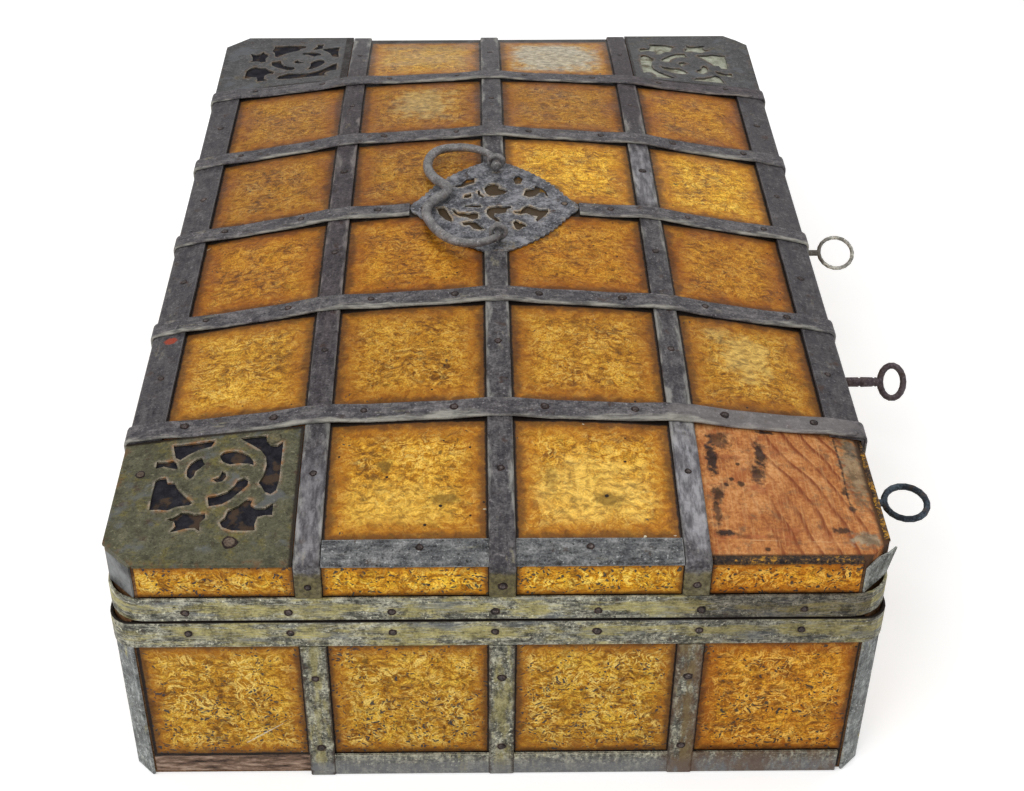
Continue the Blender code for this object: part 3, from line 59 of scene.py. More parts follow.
# The studio: a pale paper floor under soft light from all round, and two large lamps above.
# Rays from the camera and from glossy metal see plain white, and the floor keeps the box's shadow.
AMBIENT = 0.50
FLOOR_REACH = 4.0
FLOOR_GREY = 0.82
FLOOR_GLOW = 0.42
FLOOR_DROP = 0.0002
LAMPS = (
    ("window_lamp", (-1.10, -1.30, 2.00), 1.6, 30.0),
    ("ceiling_lamp", (0.55, 0.55, 2.20), 1.4, 12.0),
)


def white_backdrop(tree, other, white, output):
    """Shows white to camera, glossy and transmission rays, and other to the rest."""
    path = tree.nodes.new("ShaderNodeLightPath")
    seen = path.outputs["Is Camera Ray"]
    for kind in ("Is Glossy Ray", "Is Transmission Ray"):
        either = tree.nodes.new("ShaderNodeMath")
        either.operation = "MAXIMUM"
        tree.links.new(seen, either.inputs[0])
        tree.links.new(path.outputs[kind], either.inputs[1])
        seen = either.outputs[0]
    choice = tree.nodes.new("ShaderNodeMixShader")
    tree.links.new(seen, choice.inputs[0])
    tree.links.new(other, choice.inputs[1])
    tree.links.new(white, choice.inputs[2])
    tree.links.new(choice.outputs[0], output)


studio = bpy.data.worlds.new("studio")
studio.use_nodes = True
soft_light = studio.node_tree.nodes["Background"]
soft_light.inputs["Color"].default_value = (1, 1, 1, 1)
soft_light.inputs["Strength"].default_value = AMBIENT
white_wall = studio.node_tree.nodes.new("ShaderNodeBackground")
white_wall.inputs["Color"].default_value = (1, 1, 1, 1)
white_wall.inputs["Strength"].default_value = 1.0
white_backdrop(studio.node_tree, soft_light.outputs[0], white_wall.outputs[0],
               studio.node_tree.nodes["World Output"].inputs["Surface"])
bpy.context.scene.world = studio

for lamp_name, lamp_place, lamp_size, lamp_power in LAMPS:
    lamp_data = bpy.data.lights.new(lamp_name, "AREA")
    lamp_data.shape = "SQUARE"
    lamp_data.size = lamp_size
    lamp_data.energy = lamp_power
    lamp = bpy.data.objects.new(lamp_name, lamp_data)
    lamp.location = lamp_place
    lamp.rotation_euler = Vector(lamp_place).to_track_quat("Z", "Y").to_euler()
    bpy.context.scene.collection.objects.link(lamp)

floor_paper = bpy.data.materials.new("floor_paper")
floor_paper.use_nodes = True
paper = floor_paper.node_tree.nodes["Principled BSDF"]
paper.inputs["Base Color"].default_value = (FLOOR_GREY, FLOOR_GREY, FLOOR_GREY, 1)
paper.inputs["Roughness"].default_value = 1.0
paper.inputs["Specular IOR Level"].default_value = 0.0
glow = floor_paper.node_tree.nodes.new("ShaderNodeEmission")
glow.inputs["Strength"].default_value = FLOOR_GLOW
lit_paper = floor_paper.node_tree.nodes.new("ShaderNodeAddShader")
floor_paper.node_tree.links.new(paper.outputs[0], lit_paper.inputs[0])
floor_paper.node_tree.links.new(glow.outputs[0], lit_paper.inputs[1])
white_backdrop(floor_paper.node_tree, paper.outputs[0], lit_paper.outputs[0],
               floor_paper.node_tree.nodes["Material Output"].inputs["Surface"])
floor_mesh = bpy.data.meshes.new("floor")
floor_mesh.from_pydata([(-FLOOR_REACH, -FLOOR_REACH, 0), (FLOOR_REACH, -FLOOR_REACH, 0),
                        (FLOOR_REACH, FLOOR_REACH, 0), (-FLOOR_REACH, FLOOR_REACH, 0)], [], [(0, 1, 2, 3)])
floor_mesh.materials.append(floor_paper)
floor = bpy.data.objects.new("floor", floor_mesh)
floor.location.z = -FLOOR_DROP
bpy.context.scene.collection.objects.link(floor)


# Boards of the base and of the lid's frame: pine, planed by hand, glued and pegged at the corners.
# The wood is old and brown inside, with dark grain along each board.
DULL_SHINE = 0.10


class Finish:
    """A surface finish mixed from nodes, in the piece's own coordinates in metres."""

    def __init__(self, name, roughness, metallic, shine=DULL_SHINE):
        self.material = bpy.data.materials.new(name)
        self.material.use_nodes = True
        self.tree = self.material.node_tree
        self.shader = self.tree.nodes["Principled BSDF"]
        self.shader.inputs["Roughness"].default_value = roughness
        self.shader.inputs["Metallic"].default_value = metallic
        self.shader.inputs["Specular IOR Level"].default_value = shine
        self.place = self.add("ShaderNodeTexCoord").outputs["Object"]

    def feed(self, socket, value):
        if isinstance(value, bpy.types.NodeSocket):
            self.tree.links.new(value, socket)
        elif socket.type == "RGBA":
            socket.default_value = (*value, 1.0)
        else:
            socket.default_value = value

    def add(self, kind, inputs=None, **settings):
        made = self.tree.nodes.new(kind)
        for name, value in settings.items():
            setattr(made, name, value)
        for name, value in (inputs or {}).items():
            self.feed(made.inputs[name], value)
        return made

    def reckon(self, how, *values):
        return self.add("ShaderNodeMath", dict(enumerate(values)), operation=how).outputs[0]

    def times(self, one, two):
        return self.reckon("MULTIPLY", one, two)

    def plus(self, one, two):
        return self.reckon("ADD", one, two)

    def minus(self, one, two):
        return self.reckon("SUBTRACT", one, two)

    def least(self, one, two):
        return self.reckon("MINIMUM", one, two)

    def scaled(self, value, factor, offset):
        """The value times the factor, plus the offset."""
        return self.reckon("MULTIPLY_ADD", value, factor, offset)

    def move(self, how, *vectors):
        return self.add("ShaderNodeVectorMath", dict(enumerate(vectors)), operation=how).outputs[0]

    def parts_of(self, place):
        return self.add("ShaderNodeSeparateXYZ", {0: place}).outputs

    def place_from(self, x, y, z=0.0):
        return self.add("ShaderNodeCombineXYZ", {0: x, 1: y, 2: z}).outputs[0]

    def fade(self, value, low, high, start=0.0, end=1.0):
        inputs = {"Value": value, "From Min": low, "From Max": high, "To Min": start, "To Max": end}
        return self.add("ShaderNodeMapRange", inputs, interpolation_type="SMOOTHSTEP").outputs[0]

    def stretched(self, *lengths, place=None):
        """The place counted in steps of the given lengths, so that a mottle of size 1 has that shape."""
        return self.move("MULTIPLY", place or self.place, [1 / length for length in lengths])

    def mottle(self, size, place=None, detail=4.0, rough=0.55, warp=0.0, output="Fac"):
        inputs = {"Vector": place or self.place, "Scale": 1 / size, "Detail": detail,
                  "Roughness": rough, "Distortion": warp}
        return self.add("ShaderNodeTexNoise", inputs).outputs[output]

    def streaks(self, lengths, place=None, **look):
        """A mottle drawn out to the given lengths along the axes."""
        return self.mottle(1.0, self.stretched(*lengths, place=place), **look)

    def flakes(self, size, place=None):
        inputs = {"Vector": place or self.place, "Scale": 1 / size}
        return self.add("ShaderNodeTexVoronoi", inputs).outputs

    def tint(self, share, under, over, how="MIX"):
        made = self.add("ShaderNodeMix", {0: share, 6: under, 7: over}, data_type="RGBA", blend_type=how)
        return made.outputs[2]

    def shades(self, value, *stops):
        made = self.add("ShaderNodeValToRGB", {0: value})
        ramp = made.color_ramp
        for _ in stops[2:]:
            ramp.elements.new(0.5)
        for element, (share, colour) in zip(ramp.elements, stops):
            element.position = share
            element.color = (*colour, 1.0)
        return made.outputs[0]

    def patch(self, centre, reach, ragged=0.5, size=0.006, soft=0.35):
        """1 inside an uneven patch round centre, 0 outside; reach is its half size on each axis."""
        offset = self.move("SUBTRACT", self.place, centre)
        share = self.add("ShaderNodeVectorMath", {0: self.move("MULTIPLY", offset, [1 / r for r in reach])},
                         operation="LENGTH").outputs["Value"]
        uneven = self.scaled(self.mottle(size, detail=3), ragged * 2, -ragged)
        return self.fade(self.plus(share, uneven), 1 + soft, 1 - soft)

    def scratch(self, start, end, width):
        """1 along a thin straight scratch between two points, 0 beside it."""
        run = Vector(end) - Vector(start)
        offset = self.move("SUBTRACT", self.place, start)
        along = self.add("ShaderNodeVectorMath", {0: offset, 1: run / run.length_squared},
                         operation="DOT_PRODUCT").outputs["Value"]
        along = self.add("ShaderNodeClamp", {0: along}).outputs[0]
        nearest = self.add("ShaderNodeVectorMath", {0: run, "Scale": along}, operation="SCALE").outputs[0]
        off = self.add("ShaderNodeVectorMath", {0: offset, 1: nearest}, operation="DISTANCE")
        uneven = self.mottle(0.0022, detail=3)
        return self.fade(self.scaled(uneven, 2 * width, off.outputs["Value"]), 2 * width, width)

    def corners(self, radius):
        """1 on the piece's corners, falling to 0 on its flats at about the radius."""
        softened = self.add("ShaderNodeBevel", {"Radius": radius}, samples=4).outputs[0]
        plain = self.add("ShaderNodeNewGeometry").outputs["Normal"]
        agree = self.add("ShaderNodeVectorMath", {0: softened, 1: plain}, operation="DOT_PRODUCT")
        return self.fade(agree.outputs["Value"], 0.985, 0.84)

    def relief(self, height, depth):
        inputs = {"Height": height, "Distance": depth, "Strength": 1.0}
        self.feed(self.shader.inputs["Normal"], self.add("ShaderNodeBump", inputs).outputs[0])

    def colour(self, value):
        self.feed(self.shader.inputs["Base Color"], value)

    def gloss(self, value, smooth, rough):
        self.feed(self.shader.inputs["Roughness"], self.fade(value, 0.3, 0.7, smooth, rough))


SAME_PLACE = 0.00001
REAL_EDGE_DEGREES = 32
ROUND_EDGE_DEGREES = 58


def even_shading(name, real_edge_degrees):
    """Joins split corners and shades a faceted piece smooth, except over its real edges."""
    group = bpy.data.node_groups.new(name, "GeometryNodeTree")
    group.interface.new_socket("Geometry", in_out="INPUT", socket_type="NodeSocketGeometry")
    group.interface.new_socket("Geometry", in_out="OUTPUT", socket_type="NodeSocketGeometry")
    steps = [group.nodes.new(kind) for kind in (
        "NodeGroupInput", "GeometryNodeRemoveAttribute", "GeometryNodeMergeByDistance",
        "GeometryNodeSetShadeSmooth", "GeometryNodeSetShadeSmooth", "NodeGroupOutput")]
    steps[1].inputs["Name"].default_value = "custom_normal"
    steps[2].inputs["Distance"].default_value = SAME_PLACE
    angle = group.nodes.new("GeometryNodeInputMeshEdgeAngle")
    real_edge = group.nodes.new("FunctionNodeCompare")
    real_edge.inputs[1].default_value = math.radians(real_edge_degrees)
    group.links.new(angle.outputs[0], real_edge.inputs[0])
    steps[4].domain = "EDGE"
    group.links.new(real_edge.outputs[0], steps[4].inputs["Selection"])
    steps[4].inputs["Shade Smooth"].default_value = False
    for before, after in zip(steps, steps[1:]):
        group.links.new(before.outputs[0], after.inputs[0])
    return group


SHEET_SHADING = even_shading("sheet_shading", REAL_EDGE_DEGREES)
ROUND_SHADING = even_shading("round_shading", ROUND_EDGE_DEGREES)


def dress(names, finish, edge=0.0, shading=SHEET_SHADING):
    """Gives frame nodes their finish, and rounds their sharp edges by a small worn radius."""
    for name in names:
        piece = nodes[name]
        for material_slot in piece.material_slots:
            material_slot.material = finish.material
        piece.modifiers.new("even_shading", "NODES").node_group = shading
        if edge:
            worn = piece.modifiers.new("worn_edges", "BEVEL")
            worn.width = edge
            worn.segments = 2
            worn.limit_method = "ANGLE"
            worn.angle_limit = math.radians(REAL_EDGE_DEGREES)


GRAIN_LINES = 9.0
DIRT_BROWN = (0.06, 0.035, 0.02)


def pine_finish(name, grain_lengths, pale, dark):
    """Old pine; grain_lengths gives the length of the grain's marks along each axis."""
    finish = Finish(name, 0.75, 0.0)
    rings = finish.streaks(grain_lengths, detail=2, warp=0.6)
    lines = finish.reckon("PINGPONG", finish.times(rings, GRAIN_LINES), 0.5)
    fibre = finish.streaks([length / GRAIN_LINES for length in grain_lengths], detail=3)
    darkening = finish.mottle(0.07, detail=5)
    wood = finish.tint(finish.fade(lines, 0.1, 0.5), pale, dark)
    wood = finish.tint(finish.fade(fibre, 0.35, 0.7, 0.0, 0.5), wood, [shade * 0.55 for shade in pale])
    wood = finish.tint(finish.fade(darkening, 0.45, 0.75, 0.0, 0.6), wood, DIRT_BROWN)
    finish.wood = wood
    finish.colour(wood)
    finish.gloss(fibre, 0.6, 0.85)
    finish.relief(finish.plus(fibre, lines), 0.0003)
    return finish


PALE_PINE = (0.27, 0.145, 0.066)
DARK_PINE = (0.125, 0.056, 0.025)
end_pine = pine_finish("end_board_pine", (0.20, 0.010, 0.012), PALE_PINE, DARK_PINE)
wall_pine = pine_finish("wall_board_pine", (0.010, 0.20, 0.012), PALE_PINE, DARK_PINE)
dress(["base_near_board", "base_far_board"], end_pine, 0.0004)
dress(["base_front_board", "base_back_board", "bottom_board", "lid_rail_frame"], wall_pine, 0.0004)


# Tin sheets on the walls: tinned iron, etched so that the tin's crystals show as frost, under amber lacquer.
# They are tacked to the boards, brown and dirty along the irons, black in a painted shadow line right beside
# them, and pitted black where the lacquer broke.
STRAP_HALF = (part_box("lid_cross_strap_1")[1].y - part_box("lid_cross_strap_1")[0].y) / 2
LONG_STRAPS = [sum(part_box(name), Vector()).x / 2
               for name in ("lid_long_strap_back", "lid_long_strap_middle_near", "lid_long_strap_front")]
CROSS_STRAPS = [sum(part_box(f"lid_cross_strap_{name}"), Vector()).y / 2
                for name in ("1", "2", "3_back", "4", "5")]
LONG_PITCH = LONG_STRAPS[2] - LONG_STRAPS[1]
CROSS_PITCH = CROSS_STRAPS[2] - CROSS_STRAPS[1]
BORDER_ORANGE = (0.34, 0.120, 0.012)
BORDER_BROWN = (0.088, 0.037, 0.013)
# Black of the pits, and of the painted shadow lines beside the irons
PIT_AND_SHADOW_BLACK = (0.016, 0.011, 0.009)
OLIVE_BROWN = (0.155, 0.085, 0.014)
CRYSTAL_YELLOW = (0.92, 0.66, 0.17)
BRIGHT_TIN = (0.52, 0.46, 0.34)
SPECK_GREY = (0.040, 0.043, 0.050)
GRAIN_SHADE = (0.36, 0.28, 0.20)
STAINED = (0.52, 0.47, 0.34)
WIPED = (1.22, 1.26, 1.30)
BLOT_BROWN = (0.105, 0.062, 0.014)
# Two kinds of crystal: width and length of its strokes, and its own size
CRYSTALS = ((0.0013, 0.0060, 0.0085), (0.0022, 0.0085, 0.0130))


def iron_distance(finish, value, straps, pitch, low, high):
    """Distance along one axis from the nearest iron: the repeated straps, and the two outer edges."""
    shifted = finish.minus(value, straps[1])
    distance = finish.minus(finish.reckon("PINGPONG", shifted, pitch / 2), STRAP_HALF)
    distance = finish.least(distance, finish.minus(value, low))
    return finish.least(distance, finish.minus(high, value))


def edge_distance(finish, value, low, high):
    return finish.least(finish.minus(value, low),
                         finish.minus(high, value))


def amber_tin(name, axes, border, lacquer, shards, wisps, crowd):
    """Lacquered tin in the plane of two axes. lacquer is its dark, middle and pale colour; shards and wisps
    are the strength of its bright crystals and dark strokes; crowd gives how close together its pits are."""
    finish = Finish(name, 0.40, 0.30)
    xyz = finish.parts_of(finish.place)
    across, up = [xyz["XYZ".index(axis)] for axis in axes]
    flat = finish.place_from(across, up)
    wobble = finish.move("SUBTRACT", finish.mottle(0.009, flat, detail=2, output="Color"), (0.5, 0.5, 0.5))
    wavy = finish.move("MULTIPLY_ADD", wobble, (0.011, 0.011, 0.0), flat)
    cloud = finish.mottle(0.030, flat, detail=5, rough=0.6, warp=0.5)
    ground = finish.streaks((0.0056, 0.0034, 1.0), wavy, detail=5, rough=0.68)
    value = finish.scaled(cloud, 1.0, finish.scaled(ground, 1.9, -0.95))
    amber = finish.shades(value, *zip((0.20, 0.48, 0.80), lacquer))
    lit = finish.mottle(0.017, flat, detail=3)
    for width, length, size in CRYSTALS:
        crystal = finish.parts_of(finish.flakes(size, wavy)["Color"])
        turned = finish.add("ShaderNodeVectorRotate", {
            "Vector": wavy, "Angle": finish.times(crystal[0], math.tau)}, rotation_type="Z_AXIS")
        strokes = finish.streaks((width, length, 1.0), turned.outputs[0], detail=3)
        shown = finish.fade(lit, 0.40, 0.60, 0.15, 1.0)
        bright = finish.times(finish.fade(strokes, 0.51, 0.62), shown)
        amber = finish.tint(finish.times(bright, shards), amber, CRYSTAL_YELLOW)
        hidden = finish.fade(lit, 0.66, 0.42, 0.25, 1.0)
        dull = finish.times(finish.fade(strokes, 0.47, 0.36), hidden)
        amber = finish.tint(finish.times(dull, wisps), amber, OLIVE_BROWN)
    vein_field = finish.mottle(0.0075, wavy, detail=2)
    vein = finish.fade(finish.reckon("ABSOLUTE", finish.minus(vein_field, 0.5)), 0.026, 0.006)
    vein = finish.times(vein, finish.fade(finish.mottle(0.012, flat, detail=2), 0.48, 0.60))
    amber = finish.tint(finish.times(vein, wisps), amber, OLIVE_BROWN)
    grain = finish.mottle(0.0011, flat, detail=2)
    amber = finish.tint(finish.fade(grain, 0.56, 0.36, 0.0, 0.60), amber, GRAIN_SHADE, "MULTIPLY")

    gap = border(finish, xyz)
    ragged = finish.scaled(finish.mottle(0.008, flat, detail=5, rough=0.65), 0.014, gap)
    amber = finish.tint(finish.fade(ragged, 0.028, 0.012, 0.0, 0.70), amber, BORDER_ORANGE)
    amber = finish.tint(finish.fade(ragged, 0.0155, 0.0095, 0.0, 0.78), amber, BORDER_BROWN)
    stains = finish.mottle(0.0125, wavy, detail=5, rough=0.66, warp=0.7)
    amber = finish.tint(finish.fade(stains, 0.55, 0.67, 0.0, 0.60), amber, STAINED, "MULTIPLY")
    amber = finish.tint(finish.fade(stains, 0.44, 0.34, 0.0, 0.60), amber, WIPED, "MULTIPLY")
    blots = finish.streaks((0.0060, 0.0028, 1.0), wavy, detail=3)
    amber = finish.tint(finish.fade(blots, 0.64, 0.71, 0.0, 0.75), amber, BLOT_BROWN)
    dots = finish.flakes(0.0075, flat)
    dot_size = finish.fade(finish.parts_of(dots["Color"])[0], 0.45, 1.0, 0.0, 0.11)
    dot = finish.fade(finish.minus(dots["Distance"], dot_size), 0.01, -0.03)
    amber = finish.tint(dot, amber, PIT_AND_SHADOW_BLACK)

    pits = finish.flakes(1.0, finish.stretched(0.0024, 0.0016, 1.0, place=wavy))
    close = finish.plus(finish.mottle(0.016, flat, detail=3), crowd(finish, xyz))
    reach = finish.fade(close, 0.36, 0.64, 0.0, 0.36)
    chosen = finish.fade(finish.parts_of(pits["Color"])[0], 0.25, 0.85, 0.0, 1.25)
    reach = finish.times(reach, chosen)
    pit = finish.fade(finish.minus(pits["Distance"], reach), 0.02, -0.06)
    amber = finish.tint(finish.times(pit, 0.92), amber, SPECK_GREY)
    chips = finish.flakes(0.0060, wavy)
    inwards = finish.fade(gap, 0.002, 0.012)
    rare = finish.scaled(inwards, 0.50, finish.parts_of(chips["Color"])[1])
    off_chip = finish.scaled(rare, 0.9, chips["Distance"])
    chip = finish.fade(off_chip, 0.17, 0.10)
    amber = finish.tint(chip, amber, BRIGHT_TIN)
    # A black line right beside the irons: painted shadow, with some dirt in the gap
    edge = finish.scaled(finish.mottle(0.004, flat, detail=3), 0.0020, gap)
    amber = finish.tint(finish.fade(edge, 0.0032, 0.0019), amber, PIT_AND_SHADOW_BLACK)
    finish.tin = amber
    finish.ground = ground
    finish.inside = finish.fade(ragged, 0.013, 0.024)
    finish.colour(amber)
    finish.gloss(cloud, 0.34, 0.55)
    height = finish.scaled(strokes, 0.5, finish.times(pit, -0.8))
    finish.relief(finish.plus(height, ground), 0.0004)
    return finish


FOOT_STRIP = 0.0165
BASE_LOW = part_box("base_near_straps")[0].z + FOOT_STRIP
BASE_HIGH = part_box("base_band")[0].z
RIM_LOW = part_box("lid_band")[1].z
RIM_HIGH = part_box("lid_near_edge_strip")[0].z
END_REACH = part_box("base_near_tin")[1].x
WALL_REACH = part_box("base_front_tin")[1].y


def wall_border(axis, straps, pitch, reach, low, high, clean=1.0):
    """Distance to the irons that frame a cell on a wall; clean is how much narrower its dirty border and its
    painted shadow line are.
    """
    def distance(finish, xyz):
        side = iron_distance(finish, xyz["XY".index(axis)], straps, pitch, -reach, reach)
        nearest = finish.least(side, edge_distance(finish, xyz[2], low, high))
        return finish.times(nearest, clean)
    return distance


base_end_border = wall_border("X", LONG_STRAPS, LONG_PITCH, END_REACH, BASE_LOW, BASE_HIGH, 1.5)
base_wall_border = wall_border("Y", CROSS_STRAPS, CROSS_PITCH, WALL_REACH, BASE_LOW, BASE_HIGH, 1.5)
rim_end_border = wall_border("X", LONG_STRAPS, LONG_PITCH, END_REACH, RIM_LOW, RIM_HIGH, 2.6)
rim_wall_border = wall_border("Y", CROSS_STRAPS, CROSS_PITCH, WALL_REACH, RIM_LOW, RIM_HIGH, 2.6)


def low_on_wall(finish, xyz):
    """More pits low on the base's walls than high."""
    return finish.fade(xyz[2], BASE_HIGH - 0.02, BASE_LOW + 0.03, 0.00, 0.12)


def all_over(amount):
    """As many pits everywhere."""
    return lambda finish, xyz: amount


BASE_LACQUER = ((0.17, 0.058, 0.005), (0.53, 0.232, 0.010), (0.92, 0.580, 0.070))
RIM_LACQUER = ((0.20, 0.066, 0.005), (0.60, 0.255, 0.010), (0.96, 0.620, 0.075))
base_end_tin = amber_tin("base_end_tin", "XZ", base_end_border, BASE_LACQUER, 0.95, 0.50, low_on_wall)
base_wall_tin = amber_tin("base_wall_tin", "YZ", base_wall_border, BASE_LACQUER, 0.95, 0.50, low_on_wall)
rim_end_tin = amber_tin("rim_end_tin", "XZ", rim_end_border, RIM_LACQUER, 0.95, 0.45, all_over(0.15))
rim_wall_tin = amber_tin("rim_wall_tin", "YZ", rim_wall_border, RIM_LACQUER, 0.95, 0.45, all_over(0.15))
# Lacquers that differ from cell to cell, as the light they let through
THIN_LACQUER = (1.20, 1.20, 0.90)
RED_LACQUER = (1.00, 0.82, 0.60)
THICK_LACQUER = (0.80, 0.65, 0.45)
SMOKED_LACQUER = (0.70, 0.60, 0.55)
DULL_LACQUER = (0.85, 0.80, 0.75)
NEAR_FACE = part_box("base_near_tin")[0].y
RIM_MIDDLE = (RIM_LOW + RIM_HIGH) / 2
BASE_MIDDLE = (BASE_LOW + BASE_HIGH) / 2
CELL_REACH = (0.055, 0.05, 0.080)
# Cells of the near end with a lacquer of their own: finish, pitches from the middle strap, height
# and lacquer
NEAR_CELLS = (
    (rim_end_tin, -0.5, RIM_MIDDLE, THIN_LACQUER),
    (rim_end_tin, 0.5, RIM_MIDDLE, THIN_LACQUER),
    (rim_end_tin, 1.5, RIM_MIDDLE, RED_LACQUER),
    (base_end_tin, 1.5, BASE_MIDDLE, RED_LACQUER),
)
for finish, column, height, lacquer in NEAR_CELLS:
    centre = (LONG_STRAPS[1] + column * LONG_PITCH, NEAR_FACE, height)
    mark = finish.patch(centre, CELL_REACH, 0.3, 0.020, 0.15)
    finish.tin = finish.tint(mark, finish.tin, lacquer, "MULTIPLY")
    finish.colour(finish.tin)
# In the near left cell the strip at the foot is lost, and the board shows under the torn sheet
BARE_CELL = LONG_STRAPS[0] - STRAP_HALF
SOAKED_WOOD = (0.035, 0.022, 0.018)
OLD_WOOD = (0.205, 0.130, 0.090)
DRY_WOOD = (0.46, 0.33, 0.25)
SCRATCHED_TIN = (0.66, 0.60, 0.46)
LONG_SCRATCH = ((-0.148, NEAR_FACE, 0.027), (-0.126, NEAR_FACE, 0.043), 0.0006)


def bare_foot(finish):
    """Shows the board at the foot of the near left cell, and a long scratch above it."""
    x, y, z = finish.parts_of(finish.place)
    blotch = finish.streaks((0.016, 0.016, 0.004), detail=5, rough=0.65)
    wood = finish.shades(blotch, (0.36, SOAKED_WOOD), (0.50, OLD_WOOD), (0.64, DRY_WOOD))
    torn = finish.scaled(blotch, 0.006, z)
    in_cell = finish.reckon("LESS_THAN", x, BARE_CELL)
    in_cell = finish.times(in_cell, finish.reckon("LESS_THAN", y, 0.0))
    shows = finish.times(in_cell, finish.fade(torn, BASE_LOW + 0.0022, BASE_LOW + 0.0012))
    worn = finish.tint(shows, finish.tin, wood)
    mark = finish.scratch(*LONG_SCRATCH)
    finish.colour(finish.tint(finish.times(mark, 0.9), worn, SCRATCHED_TIN))


bare_foot(base_end_tin)
dress(["base_near_tin", "base_far_tin"], base_end_tin)
dress(["base_front_tin", "base_back_tin"], base_wall_tin)
dress(["lid_near_tin", "lid_far_tin"], rim_end_tin)
dress(["lid_front_tin", "lid_back_tin"], rim_wall_tin)


# Irons of the base: strap iron hammered flat, with a band round the mouth and straps on the corners
# and walls. They are olive grey with old varnish, brown in the hollows, and pale along the edges, partly
# rubbed and partly a painted highlight.
def shaded(colour, share):
    return [shade * share for shade in colour]


RUST_FILM = (0.060, 0.036, 0.026)


def strap_iron(name, run, dark, pale, varnish, share, wear=0.6, contrast=1.0):
    """Hammered iron. run is the length of its marks on each axis; share is how much varnish is left,
    wear how bright its corners are, rubbed and with a painted highlight, and contrast how uneven its colour
    is."""
    finish = Finish(name, 0.52, 0.30)
    marks = finish.streaks(run, detail=5, rough=0.62)
    scale = finish.mottle(0.0085, detail=6, rough=0.70, warp=0.4)
    grit = finish.mottle(0.0013, detail=3, rough=0.6)
    value = finish.scaled(marks, 1.2, finish.scaled(scale, 1.7, -1.45))
    value = finish.plus(value, finish.scaled(grit, 1.1, -0.55))
    value = finish.scaled(value, contrast, 0.5)
    iron = finish.shades(value, (0.10, shaded(dark, 0.30)), (0.42, dark), (0.66, shaded(pale, 0.85)),
                         (0.95, shaded(pale, 1.45)))
    old_varnish = finish.shades(value, (0.10, shaded(varnish, 0.35)), (0.50, shaded(varnish, 0.92)),
                                (0.90, shaded(varnish, 1.40)))
    flow = finish.stretched(*[1 if reach < 0.005 else 2.2 for reach in run])
    left = finish.mottle(0.013, flow, detail=6, rough=0.7)
    patchy = finish.scaled(marks, 0.6, finish.minus(left, 0.30))
    shown = finish.fade(patchy, 0.64 - share * 0.3, 0.80 - share * 0.3, 0.0, 0.85)
    iron = finish.tint(shown, iron, old_varnish)
    rust = finish.mottle(0.010, detail=6, rough=0.68)
    iron = finish.tint(finish.fade(rust, 0.58, 0.70, 0.0, 0.8), iron, RUST_FILM)
    pocks = finish.mottle(0.0021, detail=3, rough=0.6)
    iron = finish.tint(finish.fade(pocks, 0.41, 0.31, 0.0, 0.9 * contrast), iron, shaded(dark, 0.22))
    iron = finish.tint(finish.fade(pocks, 0.60, 0.72, 0.0, 0.9 * contrast), iron, shaded(pale, 1.8))
    # Pale corners: rubbed wear, and a painted highlight along the edges
    cornered = finish.minus(finish.corners(0.0013), 0.95)
    worn_and_lit_edge = finish.scaled(marks, 1.9, cornered)
    iron = finish.tint(finish.fade(worn_and_lit_edge, 0.30, 0.95, 0.0, wear), iron, shaded(pale, 1.6))
    finish.marks = marks
    finish.varnish = old_varnish
    finish.iron = iron
    finish.colour(iron)
    finish.gloss(value, 0.42, 0.66)
    finish.relief(value, 0.0006)
    return finish


OLIVE_DARK = (0.140, 0.138, 0.112)
OLIVE_PALE = (0.450, 0.440, 0.345)
OLIVE_VARNISH = (0.410, 0.360, 0.150)
COLD_GREY = (0.190, 0.205, 0.215)
RUST_BROWN = (0.075, 0.042, 0.030)
BAND_LINE = (0.050, 0.046, 0.040)
BAND_GLEAM = (0.50, 0.49, 0.40)
BAND_SMOKE = (0.40, 0.36, 0.36)
# Painted shadow in the parting between the bands
PARTING_SHADOW_BLACK = (0.016, 0.012, 0.010)
BAND_RUN = (0.010, 0.010, 0.0032)
ALONG_X = (0.014, 0.0030, 0.0030)
ALONG_Y = (0.0030, 0.014, 0.0030)
ALONG_Z = (0.0030, 0.0030, 0.014)
WORN_EDGE = 0.00035
BAND_NAIL_PITCH = 0.057
BAND_NAIL_START = -0.173


def nail_stain(finish, off_along, off_across, reach):
    """Rust round a nail, from the distances along and across the iron."""
    off = finish.add("ShaderNodeVectorMath", {0: finish.place_from(off_along, off_across)},
                     operation="LENGTH").outputs["Value"]
    uneven = finish.scaled(finish.mottle(0.004, detail=4), reach * 1.2, off)
    return finish.fade(uneven, reach * 1.6, reach * 0.9)


